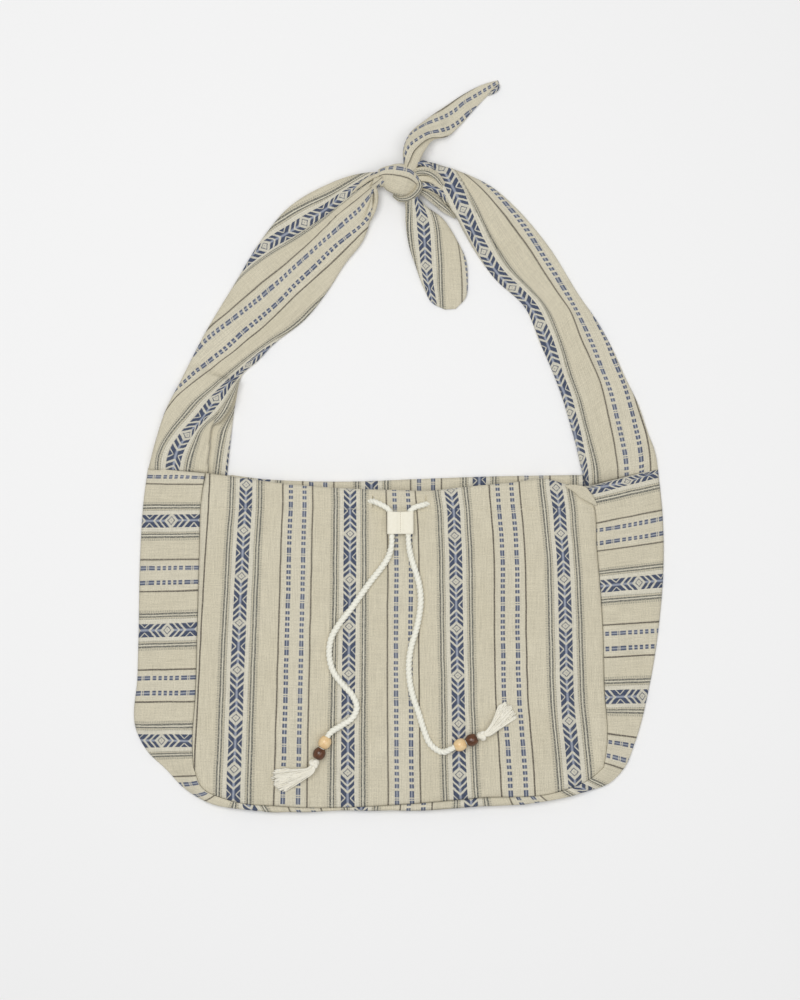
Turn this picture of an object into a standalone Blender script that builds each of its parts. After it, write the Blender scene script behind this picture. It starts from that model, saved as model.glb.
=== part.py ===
"""Drawstring sling bag of striped cotton cloth, lying flat on its back.

Metres, +Z up. The back of the bag rests at z = 0, the shoulder straps point to +Y, and the
front panel faces up. Outlines and sizes below are in millimetres, which MM turns to metres.
"""
import math

import bmesh
import bpy
import numpy as np
from mathutils import Matrix, Vector

MM = 0.001

# Cloth and the clearance between pieces that touch
CLOTH = 0.9
SEAM_GAP = 0.5
CORD_DIAMETER = 4.2
CHANNEL = 4.8

# Heights of the front panel's outer face above the table
FRONT_AT_SEAM = 9.0
FRONT_CROWN = 13.5
FRONT_HEM_MIDDLE = 18.7
FRONT_HEM_END = 14.2
CROWN_WIDTH = 50.0
LIFT_START = -150.0

# Hem casings, which hold the drawstring
FRONT_STITCH_Y = -52.0
BACK_STITCH_Y = -47.0
HEM_HALF_WIDTH = 160.0
STITCH_WIDTH = 1.0
STITCH_INSET = 0.7

# Fineness of the panels and the gusset
PANEL_COLUMNS = 21
PANEL_ROWS = 13
HEM_ROWS = 5
FLAP_ROWS = 2

# Buttonholes that let the drawstring out of the front casing
BUTTONHOLE_X = (-22.6, 23.0)
BUTTONHOLE_Y = -45.8
BUTTONHOLE_WIDTH = 10.2
BUTTONHOLE_LENGTH = 10.4

# Slider that both cords run through
SLIDER_X = 0.4
SLIDER_Y = -63.2
SLIDER_Z = 22.6
SLIDER_WIDTH = 21.0
SLIDER_LENGTH = 18.8
SLIDER_THICKNESS = 7.2
SLIDER_WAIST = 4.6
CHANNEL_OFFSET = 6.7
SLIDER_BORE = 5.4

# Beads and end knots, by their distance along the end of each cord
BEAD_BORE = 5.1
LIGHT_BEAD = (10.3, 10.0)
DARK_BEAD = (10.2, 9.6)
DARK_BEAD_AT = 10.3
KNOT_AT = 19.3
KNOT_FACE = 3.6
BEAD_LINE_LEAD = 7.0

# Knot that ties the two straps together
KNOT_CENTRE = (-0.5, 216.5, 13.0)
KNOT_RADII = (16.5, 14.5, 12.4)
CORE_CENTRE = (4.0, 215.0, 12.5)
CORE_RADII = (9.5, 8.0, 6.5)
KNOT_CLEARANCE = 0.6

# Front panel outline: its top edge, and its seam with the gusset
FRONT_TOP = [(-159, -22.8), (-143, -25), (-122, -28), (-95, -31.5), (-46, -35.5), (0, -37),
             (21, -37.5), (57, -34), (90, -31), (121, -28), (136, -32), (153, -34)]
FRONT_LEFT = [(-159, -22.8), (-162, -42), (-164, -90), (-166, -152), (-167.5, -205),
              (-170, -245), (-169, -264)]
FRONT_BOTTOM = [(-169, -264), (-162, -280.5), (-141, -290.5), (-96, -296), (0, -294.5),
                (66, -289), (132, -283.5), (158.5, -272), (167.5, -264)]
FRONT_RIGHT = [(153, -34), (160, -48), (163, -83), (167.5, -141), (169, -200), (171, -244),
               (167.5, -264)]

# Back panel outline, which shows only above the front panel's edge
BACK_TOP = [(-138.5, -24.5), (-120, -27), (-57, -30), (25, -27.5), (66, -26), (148.5, -24.5)]
BACK_LEFT = [(-138.5, -24.5), (-143, -80), (-151, -140), (-160, -200), (-167, -245), (-167, -263)]
BACK_BOTTOM = [(-167, -263), (-160, -279), (-141, -288.5), (-96, -294), (0, -292.5),
               (66, -287), (132, -281.5), (157, -270.5), (165.5, -263)]
BACK_RIGHT = [(148.5, -24.5), (152, -36), (157, -60), (163, -120), (167, -200), (169, -244),
              (165.5, -263)]

# Where the gusset's back half ends at the right strap, and the bag's outline, left to right
GUSSET_BACK_END = (151.5, -34.5)
BAG_OUTLINE = [(-207, -18.2), (-210.5, -44.5), (-213.5, -94), (-214.5, -150), (-215.5, -189),
               (-216.5, -234), (-208, -250.5), (-192, -266), (-177, -281.5), (-162, -291),
               (-116, -300), (-41, -299.5), (16, -299.5), (58, -297), (103, -294.5),
               (154, -284), (173, -277), (184, -266), (193.5, -244), (205.5, -197),
               (213.5, -145), (217, -98), (216.5, -60), (212.5, -18.8)]

# Gusset folds: height of the outward fold, depth of the inward one, and the shares of the
# bottom edge over which the strip stands up and then turns in
FOLD_HEIGHT = 3.6
FOLD_TUCK = 37.0
LIFT_RUN = 0.1
TUCK_RUN = 0.15

# Straps, as pairs of points on their outer and inner edges from the gusset to the knot
LEFT_STRAP_OUTER = [(-206.5, -17.6), (-200.5, 4.5), (-192.5, 29), (-180, 53.5), (-160.5, 91.5),
                    (-135, 134), (-113, 170), (-91.5, 195.5), (-59.5, 214.5), (-36, 222.5),
                    (-20, 224), (-10, 223)]
LEFT_STRAP_INNER = [(-138.5, -23.9), (-137.5, 4.5), (-135, 37.5), (-130, 62), (-106.5, 81),
                    (-77, 104.5), (-59.5, 126.5), (-45, 149), (-30, 168.5), (-22, 192),
                    (-18, 211), (-9, 211)]
RIGHT_STRAP_OUTER = [(212.5, -18.1), (209.5, -3.5), (204.5, 9.5), (196.5, 33), (185.5, 56),
                     (174, 81.5), (163.5, 100.5), (148.5, 122), (121.5, 165), (94, 197),
                     (78, 211), (51, 224), (34, 226), (20, 223), (8, 220)]
RIGHT_STRAP_INNER = [(153, -32.2), (148, -13.5), (145.5, -2), (139.5, 20), (133, 41.5),
                     (123.5, 66), (116, 83), (103, 113.5), (78, 137.5), (59.5, 163.5),
                     (53, 175), (44, 191), (31.5, 202), (19, 209), (8, 212)]

# Free ends of the straps beyond the knot
POINTED_TAIL_LEFT = [(4, 224), (3, 242.5), (8, 255.5), (21.5, 267.5), (37, 278.5), (54.5, 290),
                     (71.5, 298), (81, 300.5)]
POINTED_TAIL_RIGHT = [(13, 224), (21, 241.5), (27.5, 250), (39, 253.5), (49.5, 263), (61, 276),
                      (72.5, 288), (82, 297)]
LEAF_TAIL_LEFT = [(1, 214), (4.5, 198), (5, 182.5), (7.5, 165), (13.5, 146.5), (20, 129),
                  (26.5, 117.5), (37, 112)]
LEAF_TAIL_RIGHT = [(12, 214), (18, 200), (36, 185.5), (48, 167), (54.5, 153), (56, 135.5),
                   (54.5, 122), (46, 112.5)]

# Free cords: points (x, y, z) down to the slider, then points (x, y) along the front panel
LEFT_CORD_TOP = [(-33.4, -46, 15.1), (-28.4, -46, 15.2), (-24.4, -46, 16.2), (-21.4, -46, 18.8),
                 (-18.4, -46, 21.4), (-14.6, -46.4, 22.4), (-10.2, -47.6, 22.6),
                 (-7.2, -50.4, 22.6), (-6.3, -54, 22.6), (-6.3, -64, 22.6), (-6.3, -72, 22.6),
                 (-6.4, -80, 22.4)]
LEFT_CORD_ON_FRONT = [(-9.2, -91), (-14.5, -99.5), (-22, -109), (-31.5, -122), (-40, -134),
                      (-49, -145.5), (-55.8, -157.5), (-57.5, -171), (-54.6, -184), (-47, -195),
                      (-38.5, -204.5), (-35, -214), (-38.5, -222.5), (-47, -228.6)]
LEFT_BEAD_LINE = ((-61, -242.5, 19.0), (-0.447, -0.894, -0.03))
RIGHT_CORD_TOP = [(33.8, -46, 15.1), (28.8, -46, 15.2), (24.8, -46, 16.2), (21.8, -46, 18.8),
                  (18.8, -46, 21.4), (15.2, -46.4, 22.4), (11, -47.6, 22.6), (8, -50.4, 22.6),
                  (7.1, -54, 22.6), (7.1, -64, 22.6), (7.1, -72, 22.6), (7.3, -80, 22.4)]
RIGHT_CORD_ON_FRONT = [(9.5, -92), (13, -103), (16, -114), (17.2, -126), (16, -139),
                       (13.2, -152), (9.6, -164), (7.6, -177), (8, -191), (10.8, -205),
                       (15.6, -219), (20, -233), (25.8, -245), (35, -250.6)]
RIGHT_BEAD_LINE = ((49.5, -244.5, 19.0), (0.922, 0.388, -0.01))
CORD_POINTS = 64
CORD_CLEARANCE = 0.5

# Hidden run of the drawstring, from one buttonhole to the other through both casings
CASING_FRONT_LEFT = [(-34, -46), (-48, -46), (-80, -46.5), (-120, -47.3), (-150, -47.5)]
CASING_TURN_LEFT = [(-161, -47.4, 10.9), (-166.9, -45.2, 9.8), (-169.4, -39.9, 7.15),
                    (-166.9, -34.6, 4.5), (-161, -32.4, 3.4)]
CASING_BACK = [(-148, -32.4), (-100, -36.5), (-50, -39), (0, -38.5), (50, -36), (100, -35),
               (150, -35.2)]
CASING_TURN_RIGHT = [(162, -35.2, 3.4), (167.4, -37.1, 4.5), (169.6, -41.8, 7.15),
                     (167.4, -46.5, 9.8), (162, -48.4, 10.9)]
CASING_FRONT_RIGHT = [(150, -48.3), (120, -47.5), (80, -46.5), (48, -46), (34.4, -46)]
CASING_POINTS = 79

# Tassels: distance along the axis from the knot, half width and half height
TASSEL_SECTIONS = [(-3.6, 2.6, 2.6), (-2.9, 3.9, 3.9), (-0.8, 4.7, 4.7), (1.6, 4.4, 4.4),
                   (3.4, 3.0, 3.0), (5.0, 2.6, 2.5), (9.0, 3.8, 2.6), (16.0, 6.2, 2.6),
                   (24.0, 8.6, 2.4), (30.0, 9.4, 1.9), (33.0, 8.0, 1.2)]
LEFT_TASSEL_TIP = (-101.5, -274, 14.0)
RIGHT_TASSEL_TIP = (92, -214.5, 16.0)

# Plain colours of the pieces
CLOTH_COLOUR = (0.58, 0.52, 0.36)
STRIPE_COLOUR = (0.52, 0.47, 0.34)
CORD_COLOUR = (0.85, 0.81, 0.70)
SLIDER_COLOUR = (0.88, 0.84, 0.72)
LIGHT_WOOD = (0.72, 0.48, 0.24)
DARK_WOOD = (0.10, 0.035, 0.02)


def clear_scene():
    """Remove whatever objects the scene starts with."""
    for old in list(bpy.data.objects):
        bpy.data.objects.remove(old, do_unlink=True)


def make_material(name, colour, roughness):
    """Make a Principled material of one colour."""
    material = bpy.data.materials.new(name)
    material.use_nodes = True
    shader = material.node_tree.nodes["Principled BSDF"]
    shader.inputs["Base Color"].default_value = (*colour, 1.0)
    shader.inputs["Roughness"].default_value = roughness
    shader.inputs["Metallic"].default_value = 0.0
    return material


def add_object(name, data, material):
    """Link an object that holds the given mesh or curve and one material."""
    piece = bpy.data.objects.new(name, data)
    bpy.context.scene.collection.objects.link(piece)
    if material:
        data.materials.append(material)
    return piece


def add_mesh(name, points, faces, material):
    """Make a closed mesh from points in millimetres, with its faces pointing out."""
    mesh = bpy.data.meshes.new(name)
    mesh.from_pydata([tuple(float(c) * MM for c in p) for p in points], [], faces)
    shape = bmesh.new()
    shape.from_mesh(mesh)
    bmesh.ops.recalc_face_normals(shape, faces=shape.faces)
    if shape.calc_volume(signed=True) < 0:
        bmesh.ops.reverse_faces(shape, faces=shape.faces)
    shape.to_mesh(mesh)
    shape.free()
    mesh.shade_smooth()
    mesh.set_sharp_from_angle(angle=math.radians(40))
    return add_object(name, mesh, material)


def add_boolean(piece, operand, operation):
    """Join or cut a piece with a guide object, which stays hidden."""
    operand.hide_render = True
    operand.display_type = "WIRE"
    modifier = piece.modifiers.new(operand.name, "BOOLEAN")
    modifier.operation = operation
    modifier.solver = "EXACT"
    modifier.object = operand


def smoothstep(value):
    """Ease from 0 to 1 as value goes from 0 to 1."""
    value = np.clip(value, 0.0, 1.0)
    return value * value * (3.0 - 2.0 * value)


def chord_places(points):
    """Distance of each point from the first, measured along straight chords."""
    steps = np.linalg.norm(np.diff(points, axis=0), axis=1)
    return np.concatenate([[0.0], np.cumsum(steps)])


def curve_at(points, where):
    """Positions on a smooth curve through the points, at distances along its chords."""
    points = np.asarray(points, dtype=float)
    at = chord_places(points)
    gap = np.diff(at)[:, None]
    slope = np.diff(points, axis=0) / gap
    tangent = np.vstack([slope[:1], slope[-1:]])
    inner = (slope[:-1] * gap[1:] + slope[1:] * gap[:-1]) / (gap[1:] + gap[:-1])
    tangent = np.vstack([tangent[:1], inner, tangent[1:]])
    span = np.clip(np.searchsorted(at, where, side="right") - 1, 0, len(points) - 2)
    t = ((where - at[span]) / gap[span, 0])[:, None]
    return ((2 * t**3 - 3 * t**2 + 1) * points[span] + (t**3 - 2 * t**2 + t) * gap[span] * tangent[span]
            + (3 * t**2 - 2 * t**3) * points[span + 1] + (t**3 - t**2) * gap[span] * tangent[span + 1])


def even_points(points, count):
    """Evenly spaced points on the smooth curve through the given ones."""
    total = chord_places(points)[-1]
    fine = curve_at(points, np.linspace(0.0, total, 40 * len(points)))
    length = chord_places(fine)
    wanted = np.linspace(0.0, length[-1], count)
    return np.column_stack([np.interp(wanted, length, column) for column in fine.T])


def paired_points(points, count):
    """Points on the smooth curve, spaced by the number of the given point and not by length."""
    index = np.arange(len(points))
    where = np.interp(np.linspace(0, index[-1], count), index, chord_places(points))
    return curve_at(points, where)


def x_at(outline, y):
    """Where an outline that runs along Y is, at the given y."""
    side = np.asarray(outline, dtype=float)
    order = np.argsort(side[:, 1])
    return np.interp(y, side[order, 1], side[order, 0])


def hem_height(x):
    """Height of the front hem's outer face: highest in the middle of the mouth."""
    share = np.clip(np.abs(x) / HEM_HALF_WIDTH, 0.0, 1.0)
    return FRONT_HEM_MIDDLE - (FRONT_HEM_MIDDLE - FRONT_HEM_END) * share**2


def front_height(x, y):
    """Height of the front panel's outer face, crowned between its seams."""
    from_left = smoothstep((x - x_at(FRONT_LEFT, y)) / CROWN_WIDTH)
    from_right = smoothstep((x_at(FRONT_RIGHT, y) - x) / CROWN_WIDTH)
    bottom = np.interp(x, *np.asarray(FRONT_BOTTOM, dtype=float).T)
    from_bottom = smoothstep((y - bottom) / CROWN_WIDTH)
    body = FRONT_AT_SEAM + (FRONT_CROWN - FRONT_AT_SEAM) * from_left * from_right * from_bottom
    lift = smoothstep((y - LIFT_START) / (FRONT_STITCH_Y - LIFT_START))
    return body + (hem_height(x) - body) * lift


def patch(top, bottom, left, right, columns, rows):
    """Grid of (x, y) places inside four edge curves, row by row from the top edge."""
    top, bottom = even_points(top, columns), even_points(bottom, columns)
    left, right = even_points(left, rows), even_points(right, rows)
    u = np.linspace(0.0, 1.0, columns)[None, :, None]
    v = np.linspace(0.0, 1.0, rows)[:, None, None]
    corners = ((1 - u) * (1 - v) * top[0] + u * (1 - v) * top[-1]
               + (1 - u) * v * bottom[0] + u * v * bottom[-1])
    return (1 - v) * top[None] + v * bottom[None] + (1 - u) * left[:, None] + u * right[:, None] - corners


def grid_normals(grid):
    """Unit normals of a grid of points, from its rows and columns."""
    along = np.gradient(grid, axis=0)
    across = np.gradient(grid, axis=1)
    normal = np.cross(along, across)
    return normal / np.linalg.norm(normal, axis=2, keepdims=True)


def add_sheet(name, grid, thickness, material):
    """Closed sheet of cloth around a grid of points, which lie in its middle."""
    rows, columns, _ = grid.shape
    offset = grid_normals(grid) * thickness / 2
    points = np.concatenate([(grid + offset).reshape(-1, 3), (grid - offset).reshape(-1, 3)])
    lower = rows * columns

    def quad(a, b, c, d):
        return [a, b, c, d], [lower + d, lower + c, lower + b, lower + a]

    faces = []
    for r in range(rows - 1):
        for c in range(columns - 1):
            first = r * columns + c
            faces += quad(first, first + 1, first + columns + 1, first + columns)
    rim = [c for c in range(columns)]
    rim += [r * columns + columns - 1 for r in range(1, rows)]
    rim += [(rows - 1) * columns + c for c in range(columns - 2, -1, -1)]
    rim += [r * columns for r in range(rows - 2, 0, -1)]
    for a, b in zip(rim, rim[1:] + rim[:1]):
        faces.append([b, a, lower + a, lower + b])
    return add_mesh(name, points, faces, material)


def add_loft(name, rings, material):
    """Closed skin over a row of rings, with a flat cap at each end."""
    sides = len(rings[0])
    points = [p for ring in rings for p in ring]
    faces = []
    for r in range(len(rings) - 1):
        for s in range(sides):
            a, b = r * sides + s, r * sides + (s + 1) % sides
            faces.append([a, b, b + sides, a + sides])
    last = (len(rings) - 1) * sides
    faces.append(list(range(sides))[::-1])
    faces.append([last + s for s in range(sides)])
    return add_mesh(name, points, faces, material)


def add_ellipsoid(name, centre, radii, material, segments=18, rings=10):
    """Closed ellipsoid around a point."""
    mesh = bpy.data.meshes.new(name)
    shape = bmesh.new()
    bmesh.ops.create_uvsphere(shape, u_segments=segments, v_segments=rings, radius=1.0)
    place = Matrix.Translation(Vector(centre) * MM) @ Matrix.Diagonal((*(r * MM for r in radii), 1.0))
    bmesh.ops.transform(shape, matrix=place, verts=shape.verts)
    shape.to_mesh(mesh)
    shape.free()
    mesh.shade_smooth()
    return add_object(name, mesh, material)


def add_cord(name, points, material):
    """Round cord along a row of points, as a curve with filled ends."""
    curve = bpy.data.curves.new(name, "CURVE")
    curve.dimensions = "3D"
    curve.bevel_depth = CORD_DIAMETER / 2 * MM
    curve.bevel_resolution = 2
    curve.use_fill_caps = True
    spline = curve.splines.new("POLY")
    spline.points.add(len(points) - 1)
    for target, point in zip(spline.points, points):
        target.co = (*(float(c) * MM for c in point), 1.0)
    return add_object(name, curve, material)


def hem_arc(edge_y, height, radius, direction):
    """Rows (y, z) that turn a hem over: away from the panel's face, round to the flap."""
    centre = edge_y - radius - CLOTH / 2
    rows = []
    for step in range(1, HEM_ROWS + 1):
        angle = math.pi * step / HEM_ROWS
        rows.append((centre + radius * math.sin(angle), height + direction * radius * (1 - math.cos(angle))))
    return rows


def panel_grid(outline, stitch_y, face_height, direction, columns=PANEL_COLUMNS, rows=PANEL_ROWS):
    """Rows of points for a panel, its turned hem and the flap that ends at the stitch line."""
    top, bottom, left, right = outline
    radius = (CHANNEL + CLOTH) / 2
    flat = patch(top, bottom, left, right, columns, rows)
    flat[0, :, 1] -= radius + CLOTH / 2
    height = face_height(flat[..., 0], flat[..., 1])
    panel = np.dstack([flat, height])
    edge = flat[0]
    hem = np.empty((HEM_ROWS + FLAP_ROWS, columns, 3))
    for c in range(columns):
        face = height[0, c]
        arc = hem_arc(edge[c, 1] + radius + CLOTH / 2, face, radius, direction)
        for r, (y, z) in enumerate(arc):
            hem[r, c] = (edge[c, 0], y, z)
        for r in range(FLAP_ROWS):
            share = (r + 1) / FLAP_ROWS
            y = arc[-1][0] + (stitch_y - arc[-1][0]) * share
            hem[HEM_ROWS + r, c] = (edge[c, 0], y, arc[-1][1])
    return np.concatenate([panel[::-1], hem])


def add_stitch_bar(name, left_x, right_x, stitch_y, low, high, material):
    """Bar of sewn cloth that joins a hem's flap to its panel along the stitch line."""
    rings = []
    for x in np.linspace(left_x, right_x, 15):
        y = stitch_y + STITCH_INSET
        ring = [(x, y - STITCH_WIDTH / 2, low(x)), (x, y + STITCH_WIDTH / 2, low(x)),
                (x, y + STITCH_WIDTH / 2, high(x)), (x, y - STITCH_WIDTH / 2, high(x))]
        rings.append(ring)
    return add_loft(name, rings, material)


def add_box(name, low, high, material):
    """Closed box between two corners."""
    (x0, y0, z0), (x1, y1, z1) = low, high
    rings = [[(x, y0, z0), (x, y1, z0), (x, y1, z1), (x, y0, z1)] for x in (x0, x1)]
    return add_loft(name, rings, material)


def make_front_panel(cloth):
    """Front panel: crowned cloth, hem casing at the mouth and two buttonholes."""
    outline = (FRONT_TOP, FRONT_BOTTOM, FRONT_LEFT, FRONT_RIGHT)
    grid = panel_grid(outline, FRONT_STITCH_Y, lambda x, y: front_height(x, y) - CLOTH / 2, -1)
    panel = add_sheet("front_panel", grid, CLOTH, cloth)
    flap = CHANNEL + CLOTH
    bar = add_stitch_bar("front_hem_stitching", -158.5, 158.0, FRONT_STITCH_Y,
                         lambda x: hem_height(x) - CLOTH / 2 - flap,
                         lambda x: hem_height(x) - CLOTH / 2 - 0.1, None)
    add_boolean(panel, bar, "UNION")
    for number, x in enumerate(BUTTONHOLE_X, start=1):
        low = (x - BUTTONHOLE_WIDTH / 2, BUTTONHOLE_Y - BUTTONHOLE_LENGTH / 2, FRONT_HEM_MIDDLE - 2.4)
        high = (x + BUTTONHOLE_WIDTH / 2, BUTTONHOLE_Y + BUTTONHOLE_LENGTH / 2, FRONT_HEM_MIDDLE + 2)
        add_boolean(panel, add_box(f"buttonhole_{number}_cut", low, high, None), "DIFFERENCE")
    return panel


def make_back_panel(cloth):
    """Back panel: flat on the table, with its hem casing turned inside."""
    outline = (BACK_TOP, BACK_BOTTOM, BACK_LEFT, BACK_RIGHT)
    grid = panel_grid(outline, BACK_STITCH_Y, lambda x, y: np.full_like(x, CLOTH / 2), 1)
    panel = add_sheet("back_panel", grid, CLOTH, cloth)
    flap = CHANNEL + CLOTH
    bar = add_stitch_bar("back_hem_stitching", -138.0, 154.0, BACK_STITCH_Y,
                         lambda x: CLOTH / 2 + 0.1, lambda x: CLOTH / 2 + flap, None)
    add_boolean(panel, bar, "UNION")
    return panel


def gusset_stations():
    """Front and back seams of the gusset, as equal rows of points from left to right."""
    seams = []
    for left, bottom, right in ((FRONT_LEFT, FRONT_BOTTOM, FRONT_RIGHT),
                                (BACK_LEFT, BACK_BOTTOM, [GUSSET_BACK_END, *BACK_RIGHT[2:]])):
        sides = (even_points(left, PANEL_ROWS), even_points(bottom, PANEL_COLUMNS)[1:-1],
                 even_points(right, PANEL_ROWS)[::-1])
        seams.append(np.vstack(sides))
    return seams


def seam_normal(seam, i):
    """Unit vector out of the bag, square to the seam at its point i."""
    ahead = seam[min(i + 1, len(seam) - 1)] - seam[max(i - 1, 0)]
    return np.array((ahead[1], -ahead[0])) / np.linalg.norm(ahead)


def outline_ahead(start, normal):
    """Point of the bag's outline that lies ahead of a place on the seam, along its normal."""
    outline = even_points(BAG_OUTLINE, 1200) - start
    beside = np.abs(outline @ np.array((-normal[1], normal[0])))
    beside[outline @ normal <= 0] = np.inf
    return start + outline[np.argmin(beside)]


def gusset_section(top, reach, lifted, tucked):
    """Thirteen points (share of the reach, height) across the gusset, from front to back seam.

    At the sides the strip is folded outward in two leaves. Round the corners it stands up as a
    wall, and along the bottom it is tucked in between the panels.
    """
    bottom, fold_top = CLOTH / 2, FOLD_HEIGHT - CLOTH / 2
    leaf = [(0, 1), (0.25, 0.78), (0.5, 0.54), (0.75, 0.27), (0.92, 0.06), (0.985, 0)]
    spread = [(share, fold_top + (top - fold_top) * rise) for share, rise in leaf]
    spread += [(1, (fold_top + bottom) / 2)] + [(share, bottom) for share, _ in leaf[::-1]]
    wall = [(0, top), (0.6, top - 0.1), (0.93, top - 0.9), (1, top - 2.15), (1, 5.8), (1, 5.2), (1, 4.6),
            (1, 4.0), (1, 3.4), (1, 2.75), (0.93, 1.4), (0.6, 0.55), (0, bottom)]
    deep, near = -FOLD_TUCK / reach, -0.3 * FOLD_TUCK / reach
    tuck = [(0, top), (0.72, top - 0.2), (1, top - 1.1), (0.7, top - 2.15), (near, 6.2), (0.92 * deep, 6.1),
            (deep, 4.6), (0.92 * deep, 3.1), (near, 3.0), (0.7, 2.75), (1, 1.6), (0.72, 0.65), (0, bottom)]
    spread, wall, tuck = np.array(spread), np.array(wall), np.array(tuck)
    section = spread + (wall - spread) * lifted
    return section + (tuck - section) * tucked


def make_gusset(cloth):
    """Gusset: one strip of cloth round both sides and the bottom of the bag."""
    front, back = gusset_stations()
    first, last = PANEL_ROWS - 1, PANEL_ROWS + PANEL_COLUMNS - 2
    grid = np.empty((len(front), 13, 3))
    for i in range(len(front)):
        along = np.clip((i - first) / (last - first), 0, 1)
        from_corner = min(along, 1 - along)
        lifted = float(smoothstep(from_corner / LIFT_RUN))
        tucked = float(smoothstep((from_corner - LIFT_RUN) / TUCK_RUN))
        normal = seam_normal(front, i)
        start = front[i] + normal * SEAM_GAP
        end = back[i] + seam_normal(back, i) * SEAM_GAP
        edge = outline_ahead(start, normal)
        outward = (edge - start) / np.linalg.norm(edge - start)
        edge = edge - outward * CLOTH / 2
        reach = np.linalg.norm(edge - start)
        top = float(front_height(*front[i])) - CLOTH / 2
        for k, (share, height) in enumerate(gusset_section(top, reach, lifted, tucked)):
            seam = start if k < 7 else end
            sideways = (edge - seam) * share if share > 0 else normal * share * reach
            grid[i, k] = (*(seam + sideways), height)
    return add_sheet("gusset", grid, CLOTH, cloth)


def strap_rings(outer, inner, bottoms, tops, count):
    """Eight-sided rings of a folded strap between its outer and inner edges."""
    outer, inner = paired_points(outer, count), paired_points(inner, count)
    places = np.linspace(0, 1, count)
    low = np.interp(places, *np.array(bottoms, dtype=float).T)
    high = np.interp(places, *np.array(tops, dtype=float).T)
    rings = []
    for a, b, z0, z1 in zip(outer, inner, low, high):
        middle, edge = (z0 + z1) / 2, (z1 - z0) * 0.18
        profile = [(0, middle), (0.05, z0 + edge), (0.5, z0), (0.95, z0 + edge), (1, middle),
                   (0.95, z1 - edge), (0.5, z1), (0.05, z1 - edge)]
        rings.append([(*(a + (b - a) * share), z) for share, z in profile])
    return rings


def make_straps(cloth):
    """Left strap with its knot wrap and pointed tail, right strap with its leaf-shaped tail."""
    left = add_loft("left_strap", strap_rings(
        LEFT_STRAP_OUTER, LEFT_STRAP_INNER, [(0, 0.1), (0.7, 0.1), (0.86, 3.5), (1, 7.5)],
        [(0, 7.5), (0.15, 4.2), (0.6, 3.6), (0.8, 8), (0.92, 17), (1, 18)], 24), cloth)
    wrap = add_ellipsoid("knot_wrap", KNOT_CENTRE, KNOT_RADII, None)
    pointed = add_loft("pointed_tail", strap_rings(
        POINTED_TAIL_LEFT, POINTED_TAIL_RIGHT, [(0, 12), (0.15, 12.5), (0.35, 5), (0.6, 0.3), (1, 0.3)],
        [(0, 20), (0.15, 19.5), (0.35, 11), (0.6, 4), (1, 2)], 12), None)
    add_boolean(left, wrap, "UNION")
    add_boolean(left, pointed, "UNION")

    right = add_loft("right_strap", strap_rings(
        RIGHT_STRAP_OUTER, RIGHT_STRAP_INNER, [(0, 0.1), (0.7, 0.1), (0.86, 3.0), (1, 8.0)],
        [(0, 7.5), (0.15, 4.2), (0.6, 3.6), (0.8, 7), (0.92, 15), (1, 16.5)], 26), cloth)
    core = add_ellipsoid("knot_core", CORE_CENTRE, CORE_RADII, None)
    leaf = add_loft("leaf_tail", strap_rings(
        LEAF_TAIL_LEFT, LEAF_TAIL_RIGHT, [(0, 9), (0.15, 6.5), (0.35, 1.5), (0.5, 0.3), (1, 0.3)],
        [(0, 16), (0.15, 15), (0.35, 8), (0.6, 4.4), (1, 2.6)], 12), None)
    add_boolean(right, core, "UNION")
    add_boolean(right, leaf, "UNION")

    room = KNOT_CLEARANCE
    core_room = add_ellipsoid("knot_core_room", CORE_CENTRE, [r + room for r in CORE_RADII], None)
    neck_room = add_loft("knot_neck_room", strap_rings(
        [(40, 228.5), (20, 223 + room), (7.4, 220 + room)], [(40, 190), (19, 209 - room), (7.4, 212 - room)],
        [(0, 2.2), (0.5, 4.4), (1, 7)], [(0, 16.4), (0.5, 16.9), (1, 17.4)], 12), None)
    leaf_room = add_loft("knot_leaf_room", strap_rings(
        [(0.2, 216), (3.8, 198), (3.8, 186)], [(13, 216), (19.5, 199), (34, 186)],
        [(0, 8), (0.5, 5.6), (1, 0.4)], [(0, 16.8), (0.5, 16.2), (1, 15)], 12), None)
    for cutter in (core_room, neck_room, leaf_room):
        add_boolean(left, cutter, "DIFFERENCE")
    return left, right


def bead_line(line):
    """Start and unit direction of the straight end of a cord, which carries its beads."""
    centre, direction = np.array(line[0], dtype=float), np.array(line[1], dtype=float)
    return centre, direction / np.linalg.norm(direction)


def free_cord_points(top, on_front, line):
    """Points along a free cord: out of the casing, through the slider, along the front panel."""
    centre, direction = bead_line(line)
    rest = [(x, y, float(front_height(x, y)) + CORD_DIAMETER / 2 + CORD_CLEARANCE) for x, y in on_front]
    knot_face = KNOT_AT - KNOT_FACE - 0.4
    ends = [centre + direction * d for d in (-BEAD_LINE_LEAD, 0.0, DARK_BEAD_AT, knot_face)]
    return even_points([*top, *rest, *ends], CORD_POINTS)


def casing_points():
    """Points along the hidden cord, in the front casing, the back casing and the front again."""
    inside = CLOTH + CHANNEL / 2

    def front_run(places):
        return [(x, y, float(hem_height(x)) - inside) for x, y in places]

    back = [(x, y, inside) for x, y in CASING_BACK]
    route = [*front_run(CASING_FRONT_LEFT), *CASING_TURN_LEFT, *back, *CASING_TURN_RIGHT,
             *front_run(CASING_FRONT_RIGHT)]
    return even_points(route, CASING_POINTS)


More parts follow.
